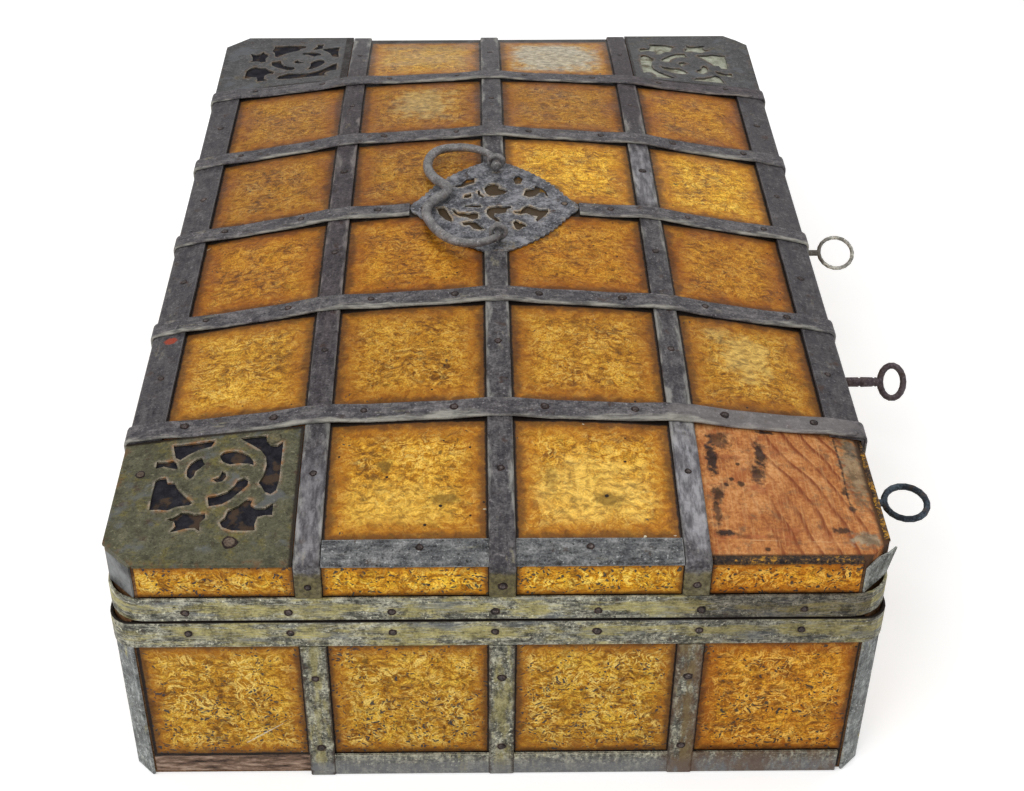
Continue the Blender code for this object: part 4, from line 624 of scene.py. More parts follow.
def band_iron(name, low, high, nail_height, smoke):
    """A band round the box: streaked with varnish along its length, rusty dark at its nails, with a painted
    shadow line at the parting; smoke is how much darker its near front corner is."""
    finish = strap_iron(name, BAND_RUN, OLIVE_DARK, OLIVE_PALE, OLIVE_VARNISH, 0.30)
    x, y, z = finish.parts_of(finish.place)
    up = finish.fade(z, low, high)
    streak = finish.streaks((0.026, 0.026, 0.0032), detail=6, rough=0.70)
    middle = finish.times(finish.fade(up, 0.10, 0.45), finish.fade(up, 0.98, 0.70))
    here = finish.mottle(0.030, detail=4, rough=0.6)
    here = finish.scaled(here, 0.9, -0.48)
    varnished = finish.scaled(middle, 0.16, here)
    varnished = finish.plus(varnished, streak)
    iron = finish.tint(finish.fade(varnished, 0.46, 0.66, 0.0, 0.90), finish.iron, finish.varnish)
    cold = finish.streaks((0.040, 0.040, 0.008), detail=5, rough=0.6)
    iron = finish.tint(finish.fade(cold, 0.54, 0.66, 0.0, 0.55), iron, COLD_GREY)
    lines = finish.streaks((0.009, 0.009, 0.0008), detail=4)
    iron = finish.tint(finish.fade(lines, 0.57, 0.68, 0.0, 0.85), iron, BAND_LINE)
    gleam = finish.streaks((0.009, 0.009, 0.0010), detail=4)
    iron = finish.tint(finish.fade(gleam, 0.55, 0.68, 0.0, 0.75), iron, BAND_GLEAM)
    along = []
    for value in (x, y):
        from_nail = finish.minus(value, BAND_NAIL_START)
        along.append(finish.reckon("PINGPONG", from_nail, BAND_NAIL_PITCH / 2))
    on_end = finish.reckon("GREATER_THAN", finish.reckon("ABSOLUTE", y), HALF_L)
    nearest = finish.add("ShaderNodeMix", {0: on_end, 2: along[1], 3: along[0]}).outputs[0]
    stain = nail_stain(finish, nearest, finish.minus(z, nail_height), 0.0034)
    iron = finish.tint(finish.times(stain, 0.85), iron, RUST_BROWN)
    smoked = finish.times(on_end, finish.fade(x, 0.075, 0.135, 0.0, smoke))
    iron = finish.tint(smoked, iron, BAND_SMOKE, "MULTIPLY")
    # A black line along the parting: painted shadow, wider than the gap itself
    parting_shadow = finish.reckon("ABSOLUTE", finish.minus(z, PARTING))
    parting_shadow = finish.scaled(streak, 0.0012, parting_shadow)
    iron = finish.tint(finish.fade(parting_shadow, 0.0022, 0.0014), iron, PARTING_SHADOW_BLACK)
    finish.colour(iron)
    return finish


HALF_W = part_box("lid_top_board")[1].x
HALF_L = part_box("lid_top_board")[1].y
PARTING = (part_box("base_band")[1].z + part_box("lid_band")[0].z) / 2
BASE_BAND_NAILS = (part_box("base_band")[0].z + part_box("base_band")[1].z) / 2 + 0.001
LID_BAND_NAILS = (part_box("lid_band")[0].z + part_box("lid_band")[1].z) / 2 - 0.002
UPRIGHT_NAILS = (0.083, 0.0245)
base_band_iron = band_iron("base_band_iron", BASE_HIGH, PARTING, BASE_BAND_NAILS, 0.45)
lid_band_iron = band_iron("lid_band_iron", PARTING, RIM_LOW, LID_BAND_NAILS, 0.85)


def shaded_varnish(finish, share):
    """The old varnish, darker by a share."""
    return finish.tint(1.0, finish.varnish, (share, share, share), "MULTIPLY")


FOOT_GREY = (0.205, 0.210, 0.225)
STRAP_EDGE_DARK = (0.050, 0.034, 0.027)
WET_RUST = (0.130, 0.066, 0.034)


def upright_iron(name, axis, straps, pitch):
    """Upright straps with the strip at their foot: olive in the middle, grey below, rusty at nails."""
    finish = strap_iron(name, ALONG_Z, OLIVE_DARK, OLIVE_PALE, OLIVE_VARNISH, 0.20)
    xyz = finish.parts_of(finish.place)
    value = xyz["XY".index(axis)]
    off = finish.reckon("PINGPONG", finish.minus(value, straps[1]), pitch / 2)
    share = finish.reckon("DIVIDE", off, STRAP_HALF)
    blotch = finish.streaks((0.008, 0.008, 0.022), detail=5, rough=0.65)
    olive = finish.minus(blotch, finish.times(share, 0.16))
    iron = finish.tint(finish.fade(olive, 0.38, 0.56, 0.0, 0.80), finish.iron, shaded_varnish(finish, 0.75))
    strip_streak = finish.streaks((0.030, 0.030, 0.003), detail=5, rough=0.65)
    low = finish.scaled(strip_streak, 0.012, xyz[2])
    iron = finish.tint(finish.fade(low, 0.024, 0.012, 0.0, 0.70), iron, FOOT_GREY)
    # Darker towards both edges of each strap
    from_middle = finish.minus(share, 0.45)
    edge_darkness = finish.scaled(finish.mottle(0.005, detail=4), 0.9, from_middle)
    on_strap = finish.reckon("LESS_THAN", share, 1.02)
    darkening = finish.times(finish.fade(edge_darkness, 0.70, 1.02, 0.0, 0.85), on_strap)
    iron = finish.tint(darkening, iron, STRAP_EDGE_DARK)
    last_strap = finish.fade(value, straps[2] - 0.02, straps[2])
    rusty = finish.times(finish.fade(blotch, 0.36, 0.56), last_strap)
    iron = finish.tint(finish.times(rusty, 0.65), iron, WET_RUST)
    for height in UPRIGHT_NAILS:
        stain = nail_stain(finish, off, finish.minus(xyz[2], height), 0.0040)
        iron = finish.tint(finish.times(stain, 0.85), iron, RUST_BROWN)
    finish.colour(iron)
    return finish


end_upright_iron = upright_iron("end_upright_iron", "X", LONG_STRAPS, LONG_PITCH)
wall_upright_iron = upright_iron("wall_upright_iron", "Y", CROSS_STRAPS, CROSS_PITCH)
CORNER_DARK = (0.155, 0.165, 0.160)
CORNER_PALE = (0.350, 0.365, 0.355)
corner_iron = strap_iron("corner_iron", ALONG_Z, CORNER_DARK, CORNER_PALE, OLIVE_VARNISH, 0.15)
dress(["base_band"], base_band_iron, WORN_EDGE)
dress(["base_near_straps", "base_far_straps"], end_upright_iron, WORN_EDGE)
dress(["base_front_straps", "base_back_straps"], wall_upright_iron, WORN_EDGE)
dress([f"base_corner_strap_{corner}" for corner in ("near_front", "near_back", "far_front", "far_back")],
      corner_iron, WORN_EDGE)


# Nails: forged, with small uneven domed heads, driven through the irons into the boards.
# Each head sits in a dark ring, partly rust and partly a painted shadow round the head; each group rides
# with the boards it holds.
nail_iron = strap_iron("nail_iron", (0.002, 0.002, 0.002), (0.040, 0.032, 0.031), (0.120, 0.098, 0.092),
                       (0.09, 0.06, 0.04), 0.2, 0.2)
nail_rust_and_shadow = strap_iron("nail_rust_and_shadow", (0.002, 0.002, 0.002), (0.022, 0.015, 0.014), (0.050, 0.032, 0.027),
                       (0.04, 0.025, 0.018), 0.2, 0.0)
surfaces = {}


def landing(names, start, direction):
    """Where a nail driven from start meets the first of the named nodes: (place, outward normal)."""
    best = None
    for name in names:
        if name not in surfaces:
            mesh = nodes[name].data
            surfaces[name] = BVHTree.FromPolygons([v.co for v in mesh.vertices],
                                                  [p.vertices for p in mesh.polygons])
        place, normal, _, distance = surfaces[name].ray_cast(Vector(start), Vector(direction))
        if place is not None and (best is None or distance < best[2]):
            best = (place, normal, distance)
    return best[:2]


HEAD_PROFILE = ((1.00, -0.15), (1.02, 0.06), (0.84, 0.16), (0.50, 0.20), (0.20, 0.20))
SEAT_PROFILE = ((1.75, -0.10), (1.65, 0.040), (1.05, 0.06), (0.30, 0.06))
NAIL_SIDES = 10


def loft(work, rings):
    """Skins a row of rings of points, and closes both ends."""
    made = [[work.verts.new(point) for point in ring] for ring in rings]
    count = len(made[0])
    for low, high in zip(made, made[1:]):
        for side in range(count):
            after = (side + 1) % count
            work.faces.new((low[side], low[after], high[after], high[side]))
    work.faces.new(made[-1])
    work.faces.new(made[0][::-1])


def add_button(work, place, normal, radius, profile, uneven, chance):
    """A small round button on a surface, from a profile of (share of the radius, height)."""
    turn = Vector((0, 0, 1)).rotation_difference(normal)
    rings = []
    for share, height in profile:
        ring = []
        for side in range(NAIL_SIDES):
            angle = math.tau * side / NAIL_SIDES
            reach = radius * share * chance.uniform(1 - uneven, 1 + uneven)
            point = Vector((math.cos(angle) * reach, math.sin(angle) * reach, radius * height))
            ring.append(place + turn @ point)
        rings.append(ring)
    loft(work, rings)


def finish_piece(name, work, finish, body):
    """Turns a worked mesh into a piece of the object that rides on a body."""
    mesh = bpy.data.meshes.new(name)
    work.normal_update()
    work.to_mesh(mesh)
    work.free()
    mesh.shade_smooth()
    mesh.materials.append(finish.material)
    piece = bpy.data.objects.new(name, mesh)
    bpy.context.scene.collection.objects.link(piece)
    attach(piece, body)
    return piece


def nail_group(name, spots, radius, body, seed):
    """Nail heads, and under them the dark rings they sit in: rust, and painted shadow round each head."""
    chance = random.Random(seed)
    heads = bmesh.new()
    seats = bmesh.new()
    for place, normal in spots:
        size = radius * chance.uniform(0.85, 1.15)
        add_button(heads, place, normal, size, HEAD_PROFILE, 0.10, chance)
        add_button(seats, place, normal, size, SEAT_PROFILE, 0.16, chance)
    finish_piece(name + "_seats", seats, nail_rust_and_shadow, body)
    return finish_piece(name, heads, nail_iron, body)


NAIL_RADIUS = 0.0015
NAIL_END_GAP = 0.012
OUTSIDE = 1.0
WALLS = (("near", 1, -1), ("far", 1, 1), ("front", 0, 1), ("back", 0, -1))


def wall_spots(names, wall, spots):
    """Landing places of nails on a wall, given as (along the wall, height)."""
    _, axis, sign = next(entry for entry in WALLS if entry[0] == wall)
    landed = []
    for along, height in spots:
        start = [along, along, height]
        start[axis] = sign * OUTSIDE
        direction = [0, 0, 0]
        direction[axis] = -sign
        landed.append(landing(names, start, direction))
    return landed


def band_places(axis):
    """Places of the band's nails along a wall, one pitch apart."""
    reach = (END_REACH if axis == 1 else WALL_REACH) - NAIL_END_GAP
    first = math.ceil((-reach - BAND_NAIL_START) / BAND_NAIL_PITCH)
    last = math.floor((reach - BAND_NAIL_START) / BAND_NAIL_PITCH)
    return [BAND_NAIL_START + step * BAND_NAIL_PITCH for step in range(first, last + 1)]


base_spots = []
for wall, axis, _ in WALLS:
    base_spots += wall_spots(["base_band"], wall, [(along, BASE_BAND_NAILS) for along in band_places(axis)])
    straps = LONG_STRAPS if axis == 1 else CROSS_STRAPS
    base_spots += wall_spots([f"base_{wall}_straps"], wall,
                             [(place, high) for place in straps for high in UPRIGHT_NAILS])
nail_group("base_nails", base_spots, NAIL_RADIUS, "base", 11)


# Hinge pins, lock cases, bolts and keeper: dark forged iron and filed steel. The pins are at the back,
# and the locks sit inside the front wall, where their bolts catch the hooks of the lid's keeper.
lock_iron = strap_iron("lock_iron", (0.012, 0.012, 0.004), (0.085, 0.085, 0.090), (0.20, 0.20, 0.21),
                       (0.14, 0.11, 0.08), 0.2)
bolt_steel = strap_iron("bolt_steel", ALONG_Y, (0.27, 0.26, 0.245), (0.48, 0.47, 0.44),
                        (0.30, 0.22, 0.14), 0.1)
dress(["hinge_pin_near", "hinge_pin_far"], lock_iron, 0.0002)
dress(["lock_case_near", "lock_case_middle", "lock_case_far", "keeper_bar"], lock_iron, 0.0003)
dress(["bolt_near", "bolt_middle", "bolt_far"], bolt_steel, 0.0003)


# Keys: three forged keys, unlike each other, left standing in their locks.
# The near one is blued, the middle one brown with turned collars, and the far one worn bright.
KEY_RUN = (0.006, 0.006, 0.006)
KEY_VARNISH = (0.12, 0.08, 0.06)
blued_key = strap_iron("blued_key", KEY_RUN, (0.026, 0.032, 0.042), (0.10, 0.13, 0.165), KEY_VARNISH,
                       0.2, 0.3, 0.6)
brown_key = strap_iron("brown_key", KEY_RUN, (0.075, 0.055, 0.062), (0.17, 0.14, 0.15), KEY_VARNISH,
                       0.2, 0.3, 0.6)
bright_key = strap_iron("bright_key", KEY_RUN, (0.30, 0.29, 0.26), (0.60, 0.59, 0.54),
                        (0.36, 0.27, 0.16), 0.15)
dress(["key_near"], blued_key, shading=ROUND_SHADING)
dress(["key_middle"], brown_key, shading=ROUND_SHADING)
dress(["key_far"], bright_key, shading=ROUND_SHADING)
# The bright key is darker round its neck: painted shade, the ring falling off from light to dark towards the
# lock
NECK = (0.2585, 0.144, 0.0685)
NECK_REACH = (0.0085, 0.012, 0.012)
NECK_SHADE = (0.10, 0.085, 0.075)
neck_shade = bright_key.patch(NECK, NECK_REACH, 0.6, 0.006, 0.3)
neck_shade = bright_key.times(neck_shade, 0.8)
bright_key.colour(bright_key.tint(neck_shade, bright_key.iron, NECK_SHADE))
# Turned collars on the middle key, between the wall and the bow: place along the shank and radius
KEY_LINE = (-0.027335, 0.0685)
COLLARS = ((0.2520, 0.0026), (0.2526, 0.0034), (0.2622, 0.0035), (0.2628, 0.0029), (0.2636, 0.0029),
           (0.2642, 0.0037), (0.2660, 0.0036), (0.2724, 0.0034), (0.2732, 0.0029), (0.2738, 0.0029),
           (0.2744, 0.0034), (0.2754, 0.0033), (0.2764, 0.0027), (0.2782, 0.0023))
COLLAR_SIDES = 20
collar_work = bmesh.new()
collar_rings = []
for along, radius in COLLARS:
    ring = []
    for side in range(COLLAR_SIDES):
        angle = math.tau * side / COLLAR_SIDES
        ring.append((along, KEY_LINE[0] + radius * math.cos(angle), KEY_LINE[1] + radius * math.sin(angle)))
    collar_rings.append(ring)
loft(collar_work, collar_rings)
finish_piece("middle_key_collars", collar_work, brown_key, "middle_key")


# Lid board: wide pine planed to a low dome. It shows bare at the near front corner, where a plate is lost.
# There the wood is orange-brown, with slanting grain, iron stains, nail holes, grey dirt and one small
# painted shadow.
LID_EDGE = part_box("lid_far_tin")[1].z + 0.0003
DOME_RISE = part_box("lid_top_board")[1].z - LID_EDGE


def dome(x, y):
    """Height of the lid board's top."""
    flat_x = min(1.0, abs(x / HALF_W)) ** 1.9
    flat_y = min(1.0, abs(y / HALF_L)) ** 2.65
    return LID_EDGE + DOME_RISE * (1 - flat_x) * (1 - flat_y)


RING_HEART = (-0.110, -0.385, 0.0)
RING_PITCH = 0.0095
IRON_STAIN = (0.034, 0.024, 0.022)
GREY_DIRT = (0.265, 0.200, 0.120)
RED_SMEAR = (0.33, 0.105, 0.042)
# Marks on the bare corner: place, half sizes, colour and strength
CORNER_MARKS = (
    ((0.1320, -0.2435), (0.0110, 0.0020), RED_SMEAR, 0.55),
    ((0.1450, -0.2680), (0.0060, 0.0040), RED_SMEAR, 0.45),
    ((0.1400, -0.3040), (0.0230, 0.0013), RED_SMEAR, 0.65),
    ((0.1600, -0.2985), (0.0120, 0.0014), RED_SMEAR, 0.50),
    ((0.2060, -0.2440), (0.0068, 0.0300), GREY_DIRT, 0.85),
    ((0.2025, -0.3050), (0.0085, 0.0050), (0.30, 0.255, 0.175), 0.80),
    # The dark grey mark beside the grey dirt is painted shadow
    ((0.2090, -0.2290), (0.0045, 0.0080), (0.11, 0.095, 0.075), 0.70),
    ((0.1640, -0.2155), (0.0480, 0.0014), (0.42, 0.33, 0.21), 0.75),
    ((0.1235, -0.2440), (0.0031, 0.0140), IRON_STAIN, 0.95),
    ((0.1285, -0.2305), (0.0062, 0.0068), IRON_STAIN, 0.72),
    ((0.1520, -0.2400), (0.0032, 0.0100), IRON_STAIN, 0.92),
    ((0.1490, -0.2565), (0.0034, 0.0072), IRON_STAIN, 0.85),
    ((0.1565, -0.2200), (0.0055, 0.0013), IRON_STAIN, 0.95),
    ((0.1235, -0.2735), (0.0030, 0.0066), IRON_STAIN, 0.85),
    ((0.1220, -0.2860), (0.0022, 0.0090), IRON_STAIN, 0.80),
    ((0.1255, -0.3015), (0.0048, 0.0023), IRON_STAIN, 0.95),
    ((0.1970, -0.2665), (0.0020, 0.0026), IRON_STAIN, 0.80),
    ((0.1990, -0.2810), (0.0016, 0.0028), IRON_STAIN, 0.80),
    ((0.1900, -0.2985), (0.0044, 0.0024), IRON_STAIN, 0.85),
)
# Crack down the right of the bare corner, and the holes that nails left: place and radius
CRACK = ((0.1985, -0.2200), (0.1990, -0.2500), (0.1980, -0.2685), (0.1990, -0.2810))
NAIL_HOLES = (
    ((0.1380, -0.2485), 0.0012), ((0.1330, -0.2610), 0.0014), ((0.1295, -0.2655), 0.0014),
    ((0.1380, -0.2645), 0.0021), ((0.1470, -0.3130), 0.0015),
)


DEEP_WOOD = (0.27, 0.085, 0.028)
ORANGE_WOOD = (0.50, 0.198, 0.060)
PALE_WOOD = (0.70, 0.350, 0.140)
RED_WOOD = (0.31, 0.085, 0.028)
DULL_WOOD = (0.17, 0.092, 0.050)
FINE_RING = (0.36, 0.130, 0.050)
LATE_WOOD = (0.21, 0.055, 0.020)
PALE_FIBRE = (0.64, 0.345, 0.150)
DARK_FIBRE = (0.27, 0.095, 0.038)
WOOD_SCRATCH = (0.70, 0.45, 0.24)
HOLE_BLACK = (0.018, 0.014, 0.013)
EDGE_DARK_BROWN = (0.045, 0.026, 0.016)


# How a mark's edge runs: how ragged it is, how large its tears are, and how soft
TORN_EDGE = (1.25, 0.0034, 0.45)
HOLE_EDGE = (0.60, 0.002, 0.35)
MARK_DEPTH = 0.02
CRACK_WIDTH = 0.0011
WOOD_LINE = ((0.1180, -0.3060), (0.1830, -0.3075), 0.0004)


def on_dome(place):
    return (*place, dome(*place))


def stain(finish, under, centre, reach, colour, share, edge, depth=0.05, how="MIX"):
    """Tints an uneven patch of the dome with a colour, by a share."""
    mark = finish.patch(on_dome(centre), (*reach, depth), *edge)
    return finish.tint(finish.times(mark, share), under, colour, how)


def scratched(finish, under, start, end, width, colour, share):
    """Draws a thin straight scratch on the dome."""
    mark = finish.scratch(on_dome(start), on_dome(end), width)
    return finish.tint(finish.times(mark, share), under, colour)


def bare_pine():
    """The lid board: plain old pine underneath, and weathered where its corner shows on top."""
    finish = pine_finish("lid_board_pine", (0.010, 0.20, 0.012), PALE_PINE, DARK_PINE)
    x, y, z = finish.parts_of(finish.place)
    warp = finish.mottle(0.060, detail=2)
    from_heart = finish.move("SUBTRACT", finish.place_from(x, y), RING_HEART)
    heart = finish.add("ShaderNodeVectorMath", {0: from_heart}, operation="LENGTH").outputs["Value"]
    ring_count = finish.scaled(warp, 1.6, finish.reckon("DIVIDE", heart, RING_PITCH))
    ring = finish.reckon("FRACT", ring_count)
    late_wood = finish.times(finish.fade(ring, 0.60, 0.86), finish.fade(ring, 1.0, 0.90))
    fine_ring = finish.reckon("PINGPONG", finish.times(ring_count, 4.0), 0.5)
    right = finish.fade(finish.scaled(warp, 0.03, x), 0.152, 0.182, 0.15, 0.95)
    fibre = finish.streaks((0.0011, 0.016, 0.02), detail=4)
    cloud = finish.mottle(0.024, detail=6, rough=0.62, warp=0.4)
    speckle = finish.mottle(0.0022, detail=4, rough=0.65)
    tone = finish.plus(cloud, finish.scaled(speckle, 0.9, -0.45))
    wood = finish.shades(tone, (0.28, DEEP_WOOD), (0.50, ORANGE_WOOD), (0.74, PALE_WOOD))
    reddened = finish.mottle(0.014, detail=5, rough=0.65, warp=0.6)
    wood = finish.tint(finish.fade(reddened, 0.50, 0.64, 0.0, 0.65), wood, RED_WOOD)
    dulled = finish.mottle(0.010, detail=6, rough=0.7)
    wood = finish.tint(finish.fade(dulled, 0.52, 0.66, 0.0, 0.75), wood, DULL_WOOD)
    fine_ring = finish.times(fine_ring, finish.times(right, 0.45))
    wood = finish.tint(fine_ring, wood, FINE_RING)
    broken = finish.fade(finish.mottle(0.018, detail=3), 0.34, 0.52, 0.35, 1.0)
    ring_line = finish.times(finish.times(late_wood, right), broken)
    wood = finish.tint(ring_line, wood, LATE_WOOD)
    wood = finish.tint(finish.fade(fibre, 0.45, 0.72, 0.0, 0.40), wood, PALE_FIBRE)
    wood = finish.tint(finish.fade(fibre, 0.40, 0.28, 0.0, 0.35), wood, DARK_FIBRE)
    for centre, reach, shade, strength in CORNER_MARKS:
        uneven_shade = finish.tint(finish.fade(dulled, 0.40, 0.60), shaded(shade, 1.25),
                                   shaded(shade, 0.50))
        wood = stain(finish, wood, centre, reach, uneven_shade, strength, TORN_EDGE, MARK_DEPTH)
    for start, end in zip(CRACK, CRACK[1:]):
        wood = scratched(finish, wood, start, end, CRACK_WIDTH, IRON_STAIN, 0.85)
    wood = scratched(finish, wood, *WOOD_LINE, WOOD_SCRATCH, 0.6)
    for centre, radius in NAIL_HOLES:
        wood = stain(finish, wood, centre, (radius, radius), HOLE_BLACK, 0.85, HOLE_EDGE, MARK_DEPTH)
    # Darker along the board's front and near edges, beside the folded tin
    dark_edge = finish.reckon("MAXIMUM", finish.fade(x, HALF_W - 0.0055, HALF_W - 0.0030),
                               finish.fade(y, -HALF_L + 0.0060, -HALF_L + 0.0038))
    wood = finish.tint(finish.times(dark_edge, 0.9), wood, EDGE_DARK_BROWN)
    finish.colour(finish.tint(finish.fade(z, LID_EDGE - 0.0085, LID_EDGE - 0.0060), finish.wood, wood))
    finish.gloss(fibre, 0.62, 0.88)
    finish.relief(finish.plus(fibre, finish.times(late_wood, 0.15)), 0.0005)
    return finish


dress(["lid_top_board"], bare_pine(), 0.0003)


# Edges of the tin, folded over the board at the bare corner: narrow strips of the rim's sheet, ragged
# and brown, with flecks of lacquer left.
FOLD_STEPS = 40


def folded_edge(name, axis, start, end, inner, outer, finish, seed):
    """A strip of sheet along one edge of the lid, lying on the board and turned down over its side."""
    chance = random.Random(seed)
    work = bmesh.new()
    rings = []
    side = math.copysign(1.0, outer)
    for step in range(FOLD_STEPS + 1):
        along = start + (end - start) * step / FOLD_STEPS
        ragged = inner + side * chance.uniform(-0.0003, 0.0005)
        ring = []
        for across, lift in ((ragged, 0.00030), (outer - side * 0.0006, 0.00045), (outer, 0.0001),
                             (outer + side * 0.0001, -0.0014), (outer - side * 0.0002, -0.0014),
                             (outer - side * 0.0006, 0.0001), (ragged, 0.00005)):
            x, y = (along, across) if axis == "X" else (across, along)
            ring.append((x, y, dome(x, y) + lift))
        rings.append(ring)
    loft(work, rings)
    bmesh.ops.recalc_face_normals(work, faces=work.faces)
    return finish_piece(name, work, finish, "lid")


# From black through brown to gold: share of lacquer and its colour
FOLD_SHADES = (
    (0.30, (0.018, 0.013, 0.012)),
    (0.44, (0.075, 0.045, 0.026)),
    (0.56, (0.38, 0.185, 0.022)),
    (0.76, (0.66, 0.40, 0.065)),
)


def fold_finish(name, golden):
    """Old sheet edge: brown, with golden flecks; golden is the share of lacquer left."""
    finish = Finish(name, 0.5, 0.3)
    flecks = finish.mottle(0.0020, detail=4, rough=0.65, warp=0.5)
    patches = finish.mottle(0.020, detail=3)
    shown = finish.plus(flecks, finish.scaled(patches, 0.6, golden - 0.80))
    sheet = finish.shades(shown, *FOLD_SHADES)
    finish.colour(sheet)
    finish.relief(flecks, 0.0003)
    return finish


FOLD_GAP = 0.0006
FOLD_CORNER = 0.0165
FOLD_OUT = 0.0010
NEAR_FOLD_WIDTH = 0.0034
FRONT_FOLD_WIDTH = 0.0022
folded_edge("near_tin_fold", "X", LONG_STRAPS[2] + STRAP_HALF + FOLD_GAP, HALF_W - FOLD_CORNER,
            -HALF_L + NEAR_FOLD_WIDTH, -HALF_L - FOLD_OUT, fold_finish("brown_tin_fold", 0.40), 31)
folded_edge("front_tin_fold", "Y", -HALF_L + FOLD_CORNER, CROSS_STRAPS[0] - STRAP_HALF - FOLD_GAP,
            HALF_W - FRONT_FOLD_WIDTH, HALF_W + FOLD_OUT, fold_finish("golden_tin_fold", 0.43), 32)


# Tin on the lid: the same lacquered sheet, dressed over the dome and worn by hands.
# The far middle panel is rubbed to bare tin, and the sheet is brown beside every strap, with a painted black
# shadow line right along each one.
EDGE_STRAP_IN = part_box("lid_edge_strap_front")[0].x
NEAR_STRIP_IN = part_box("lid_near_edge_strip")[1].y


def lid_border(finish, xyz):
    across = iron_distance(finish, xyz[0], LONG_STRAPS, LONG_PITCH, -EDGE_STRAP_IN, EDGE_STRAP_IN)
    along = iron_distance(finish, xyz[1], CROSS_STRAPS, CROSS_PITCH, NEAR_STRIP_IN, HALF_L - 0.002)
    return finish.least(across, along)


LID_LACQUER = ((0.17, 0.060, 0.006), (0.54, 0.240, 0.014), (0.82, 0.490, 0.066))
lid_tin = amber_tin("lid_tin", "XY", lid_border, LID_LACQUER, 0.42, 0.42, all_over(-0.14))
# Panels with a lacquer of their own: pitches from the middle straps, across and along the lid
PANEL_LACQUERS = (
    (THICK_LACQUER, ((-1.5, -0.5), (-0.5, -0.5), (0.5, -0.5), (1.5, -0.5), (1.5, 1.5))),
    (SMOKED_LACQUER, ((-1.5, 0.5), (-0.5, 0.5), (-1.5, 1.5), (-0.5, 1.5), (0.5, 1.5))),
    (DULL_LACQUER, ((-0.5, -1.5), (0.5, -1.5), (1.5, -1.5))),
    (THIN_LACQUER, ((0.5, 0.5), (1.5, 0.5))),
)
PANEL_REACH = (0.055, 0.056)
SCRATCH_YELLOW = (0.80, 0.68, 0.40)
# Worn places: middle, half sizes, colour and strength
WORN_PATCHES = (
    ((0.055, 0.268), (0.042, 0.040), (0.43, 0.40, 0.31), 0.85),
    ((-0.050, 0.166), (0.020, 0.026), (0.46, 0.34, 0.13), 0.60),
    ((0.155, -0.150), (0.016, 0.020), (0.62, 0.45, 0.14), 0.45),
    ((0.140, -0.128), (0.008, 0.010), (0.62, 0.45, 0.14), 0.40),
    ((0.050, -0.275), (0.034, 0.026), (0.74, 0.50, 0.115), 0.42),
    ((-0.055, -0.285), (0.034, 0.018), (0.70, 0.45, 0.080), 0.35),
    ((-0.050, 0.302), (0.050, 0.014), (0.20, 0.13, 0.06), 0.60),
    ((-0.050, 0.265), (0.040, 0.022), (0.45, 0.29, 0.10), 0.55),
)
# Painted shadow on the tin under the handle's plate, seen through its openings: middle, half sizes and
# colour
UNDER_PLATE_SHADOW = ((0.002, 0.0025), (0.050, 0.044), (0.060, 0.040, 0.022))
# Brown spots and black dots on the two near panels: middle, half sizes and strength
NEAR_SPOTS = (
    ((0.0615, -0.2795), (0.0075, 0.0050), 0.75),
    ((-0.0295, -0.2795), (0.0065, 0.0042), 0.75),
    ((-0.0640, -0.2540), (0.0036, 0.0050), 0.80),
    ((0.0300, -0.2640), (0.0040, 0.0100), 0.50),
)
NEAR_DOTS = (
    ((0.0610, -0.2770), 0.0012), ((-0.0320, -0.2840), 0.0011), ((-0.0405, -0.2970), 0.0009),
    ((-0.0625, -0.2625), 0.0009), ((0.0730, -0.2515), 0.0008),
)
DARK_SCRATCHES = (
    ((0.0440, -0.2600), (0.0620, -0.2585), 0.0005),
    ((0.0535, -0.2515), (0.0635, -0.2505), 0.0005),
)
PALE_SCRATCHES = (
    ((0.0620, -0.1210), (0.0660, -0.1560), 0.0006),
    ((-0.0560, -0.2380), (-0.0460, -0.2400), 0.0005),
)
PANEL_EDGE = (0.5, 0.030, 0.25)
WORN_PATCH_EDGE = (1.1, 0.010, 0.45)
PLATE_EDGE = (0.4, 0.010, 0.15)
SPOT_EDGE = (1.0, 0.004, 0.4)
DOT_EDGE = (0.3, 0.002, 0.3)
worn = lid_tin.tin
for lacquer, panels in PANEL_LACQUERS:
    for column, row in panels:
        centre = (LONG_STRAPS[1] + column * LONG_PITCH, CROSS_STRAPS[2] + row * CROSS_PITCH)
        worn = stain(lid_tin, worn, centre, PANEL_REACH, lacquer, 1.0, PANEL_EDGE, how="MULTIPLY")
for centre, reach, shade, share in WORN_PATCHES:
    mottled = lid_tin.tint(lid_tin.fade(lid_tin.ground, 0.36, 0.64), shaded(shade, 0.60),
                           shaded(shade, 1.35))
    worn = stain(lid_tin, worn, centre, reach, mottled, lid_tin.times(lid_tin.inside, share),
                 WORN_PATCH_EDGE)
# Painted shadow under the handle's plate
centre, reach, darkening = UNDER_PLATE_SHADOW
worn = stain(lid_tin, worn, centre, reach, darkening, 1.0, PLATE_EDGE)
for centre, reach, share in NEAR_SPOTS:
    worn = stain(lid_tin, worn, centre, reach, OLIVE_BROWN, share, SPOT_EDGE, MARK_DEPTH)
for centre, radius in NEAR_DOTS:
    worn = stain(lid_tin, worn, centre, (radius, radius), PIT_AND_SHADOW_BLACK, 1.0, DOT_EDGE, MARK_DEPTH)
for scratches, colour in ((DARK_SCRATCHES, SPECK_GREY), (PALE_SCRATCHES, SCRATCH_YELLOW)):
    for scratch in scratches:
        worn = scratched(lid_tin, worn, *scratch, colour, 0.8)
lid_tin.colour(worn)
dress(["lid_top_tin"], lid_tin)


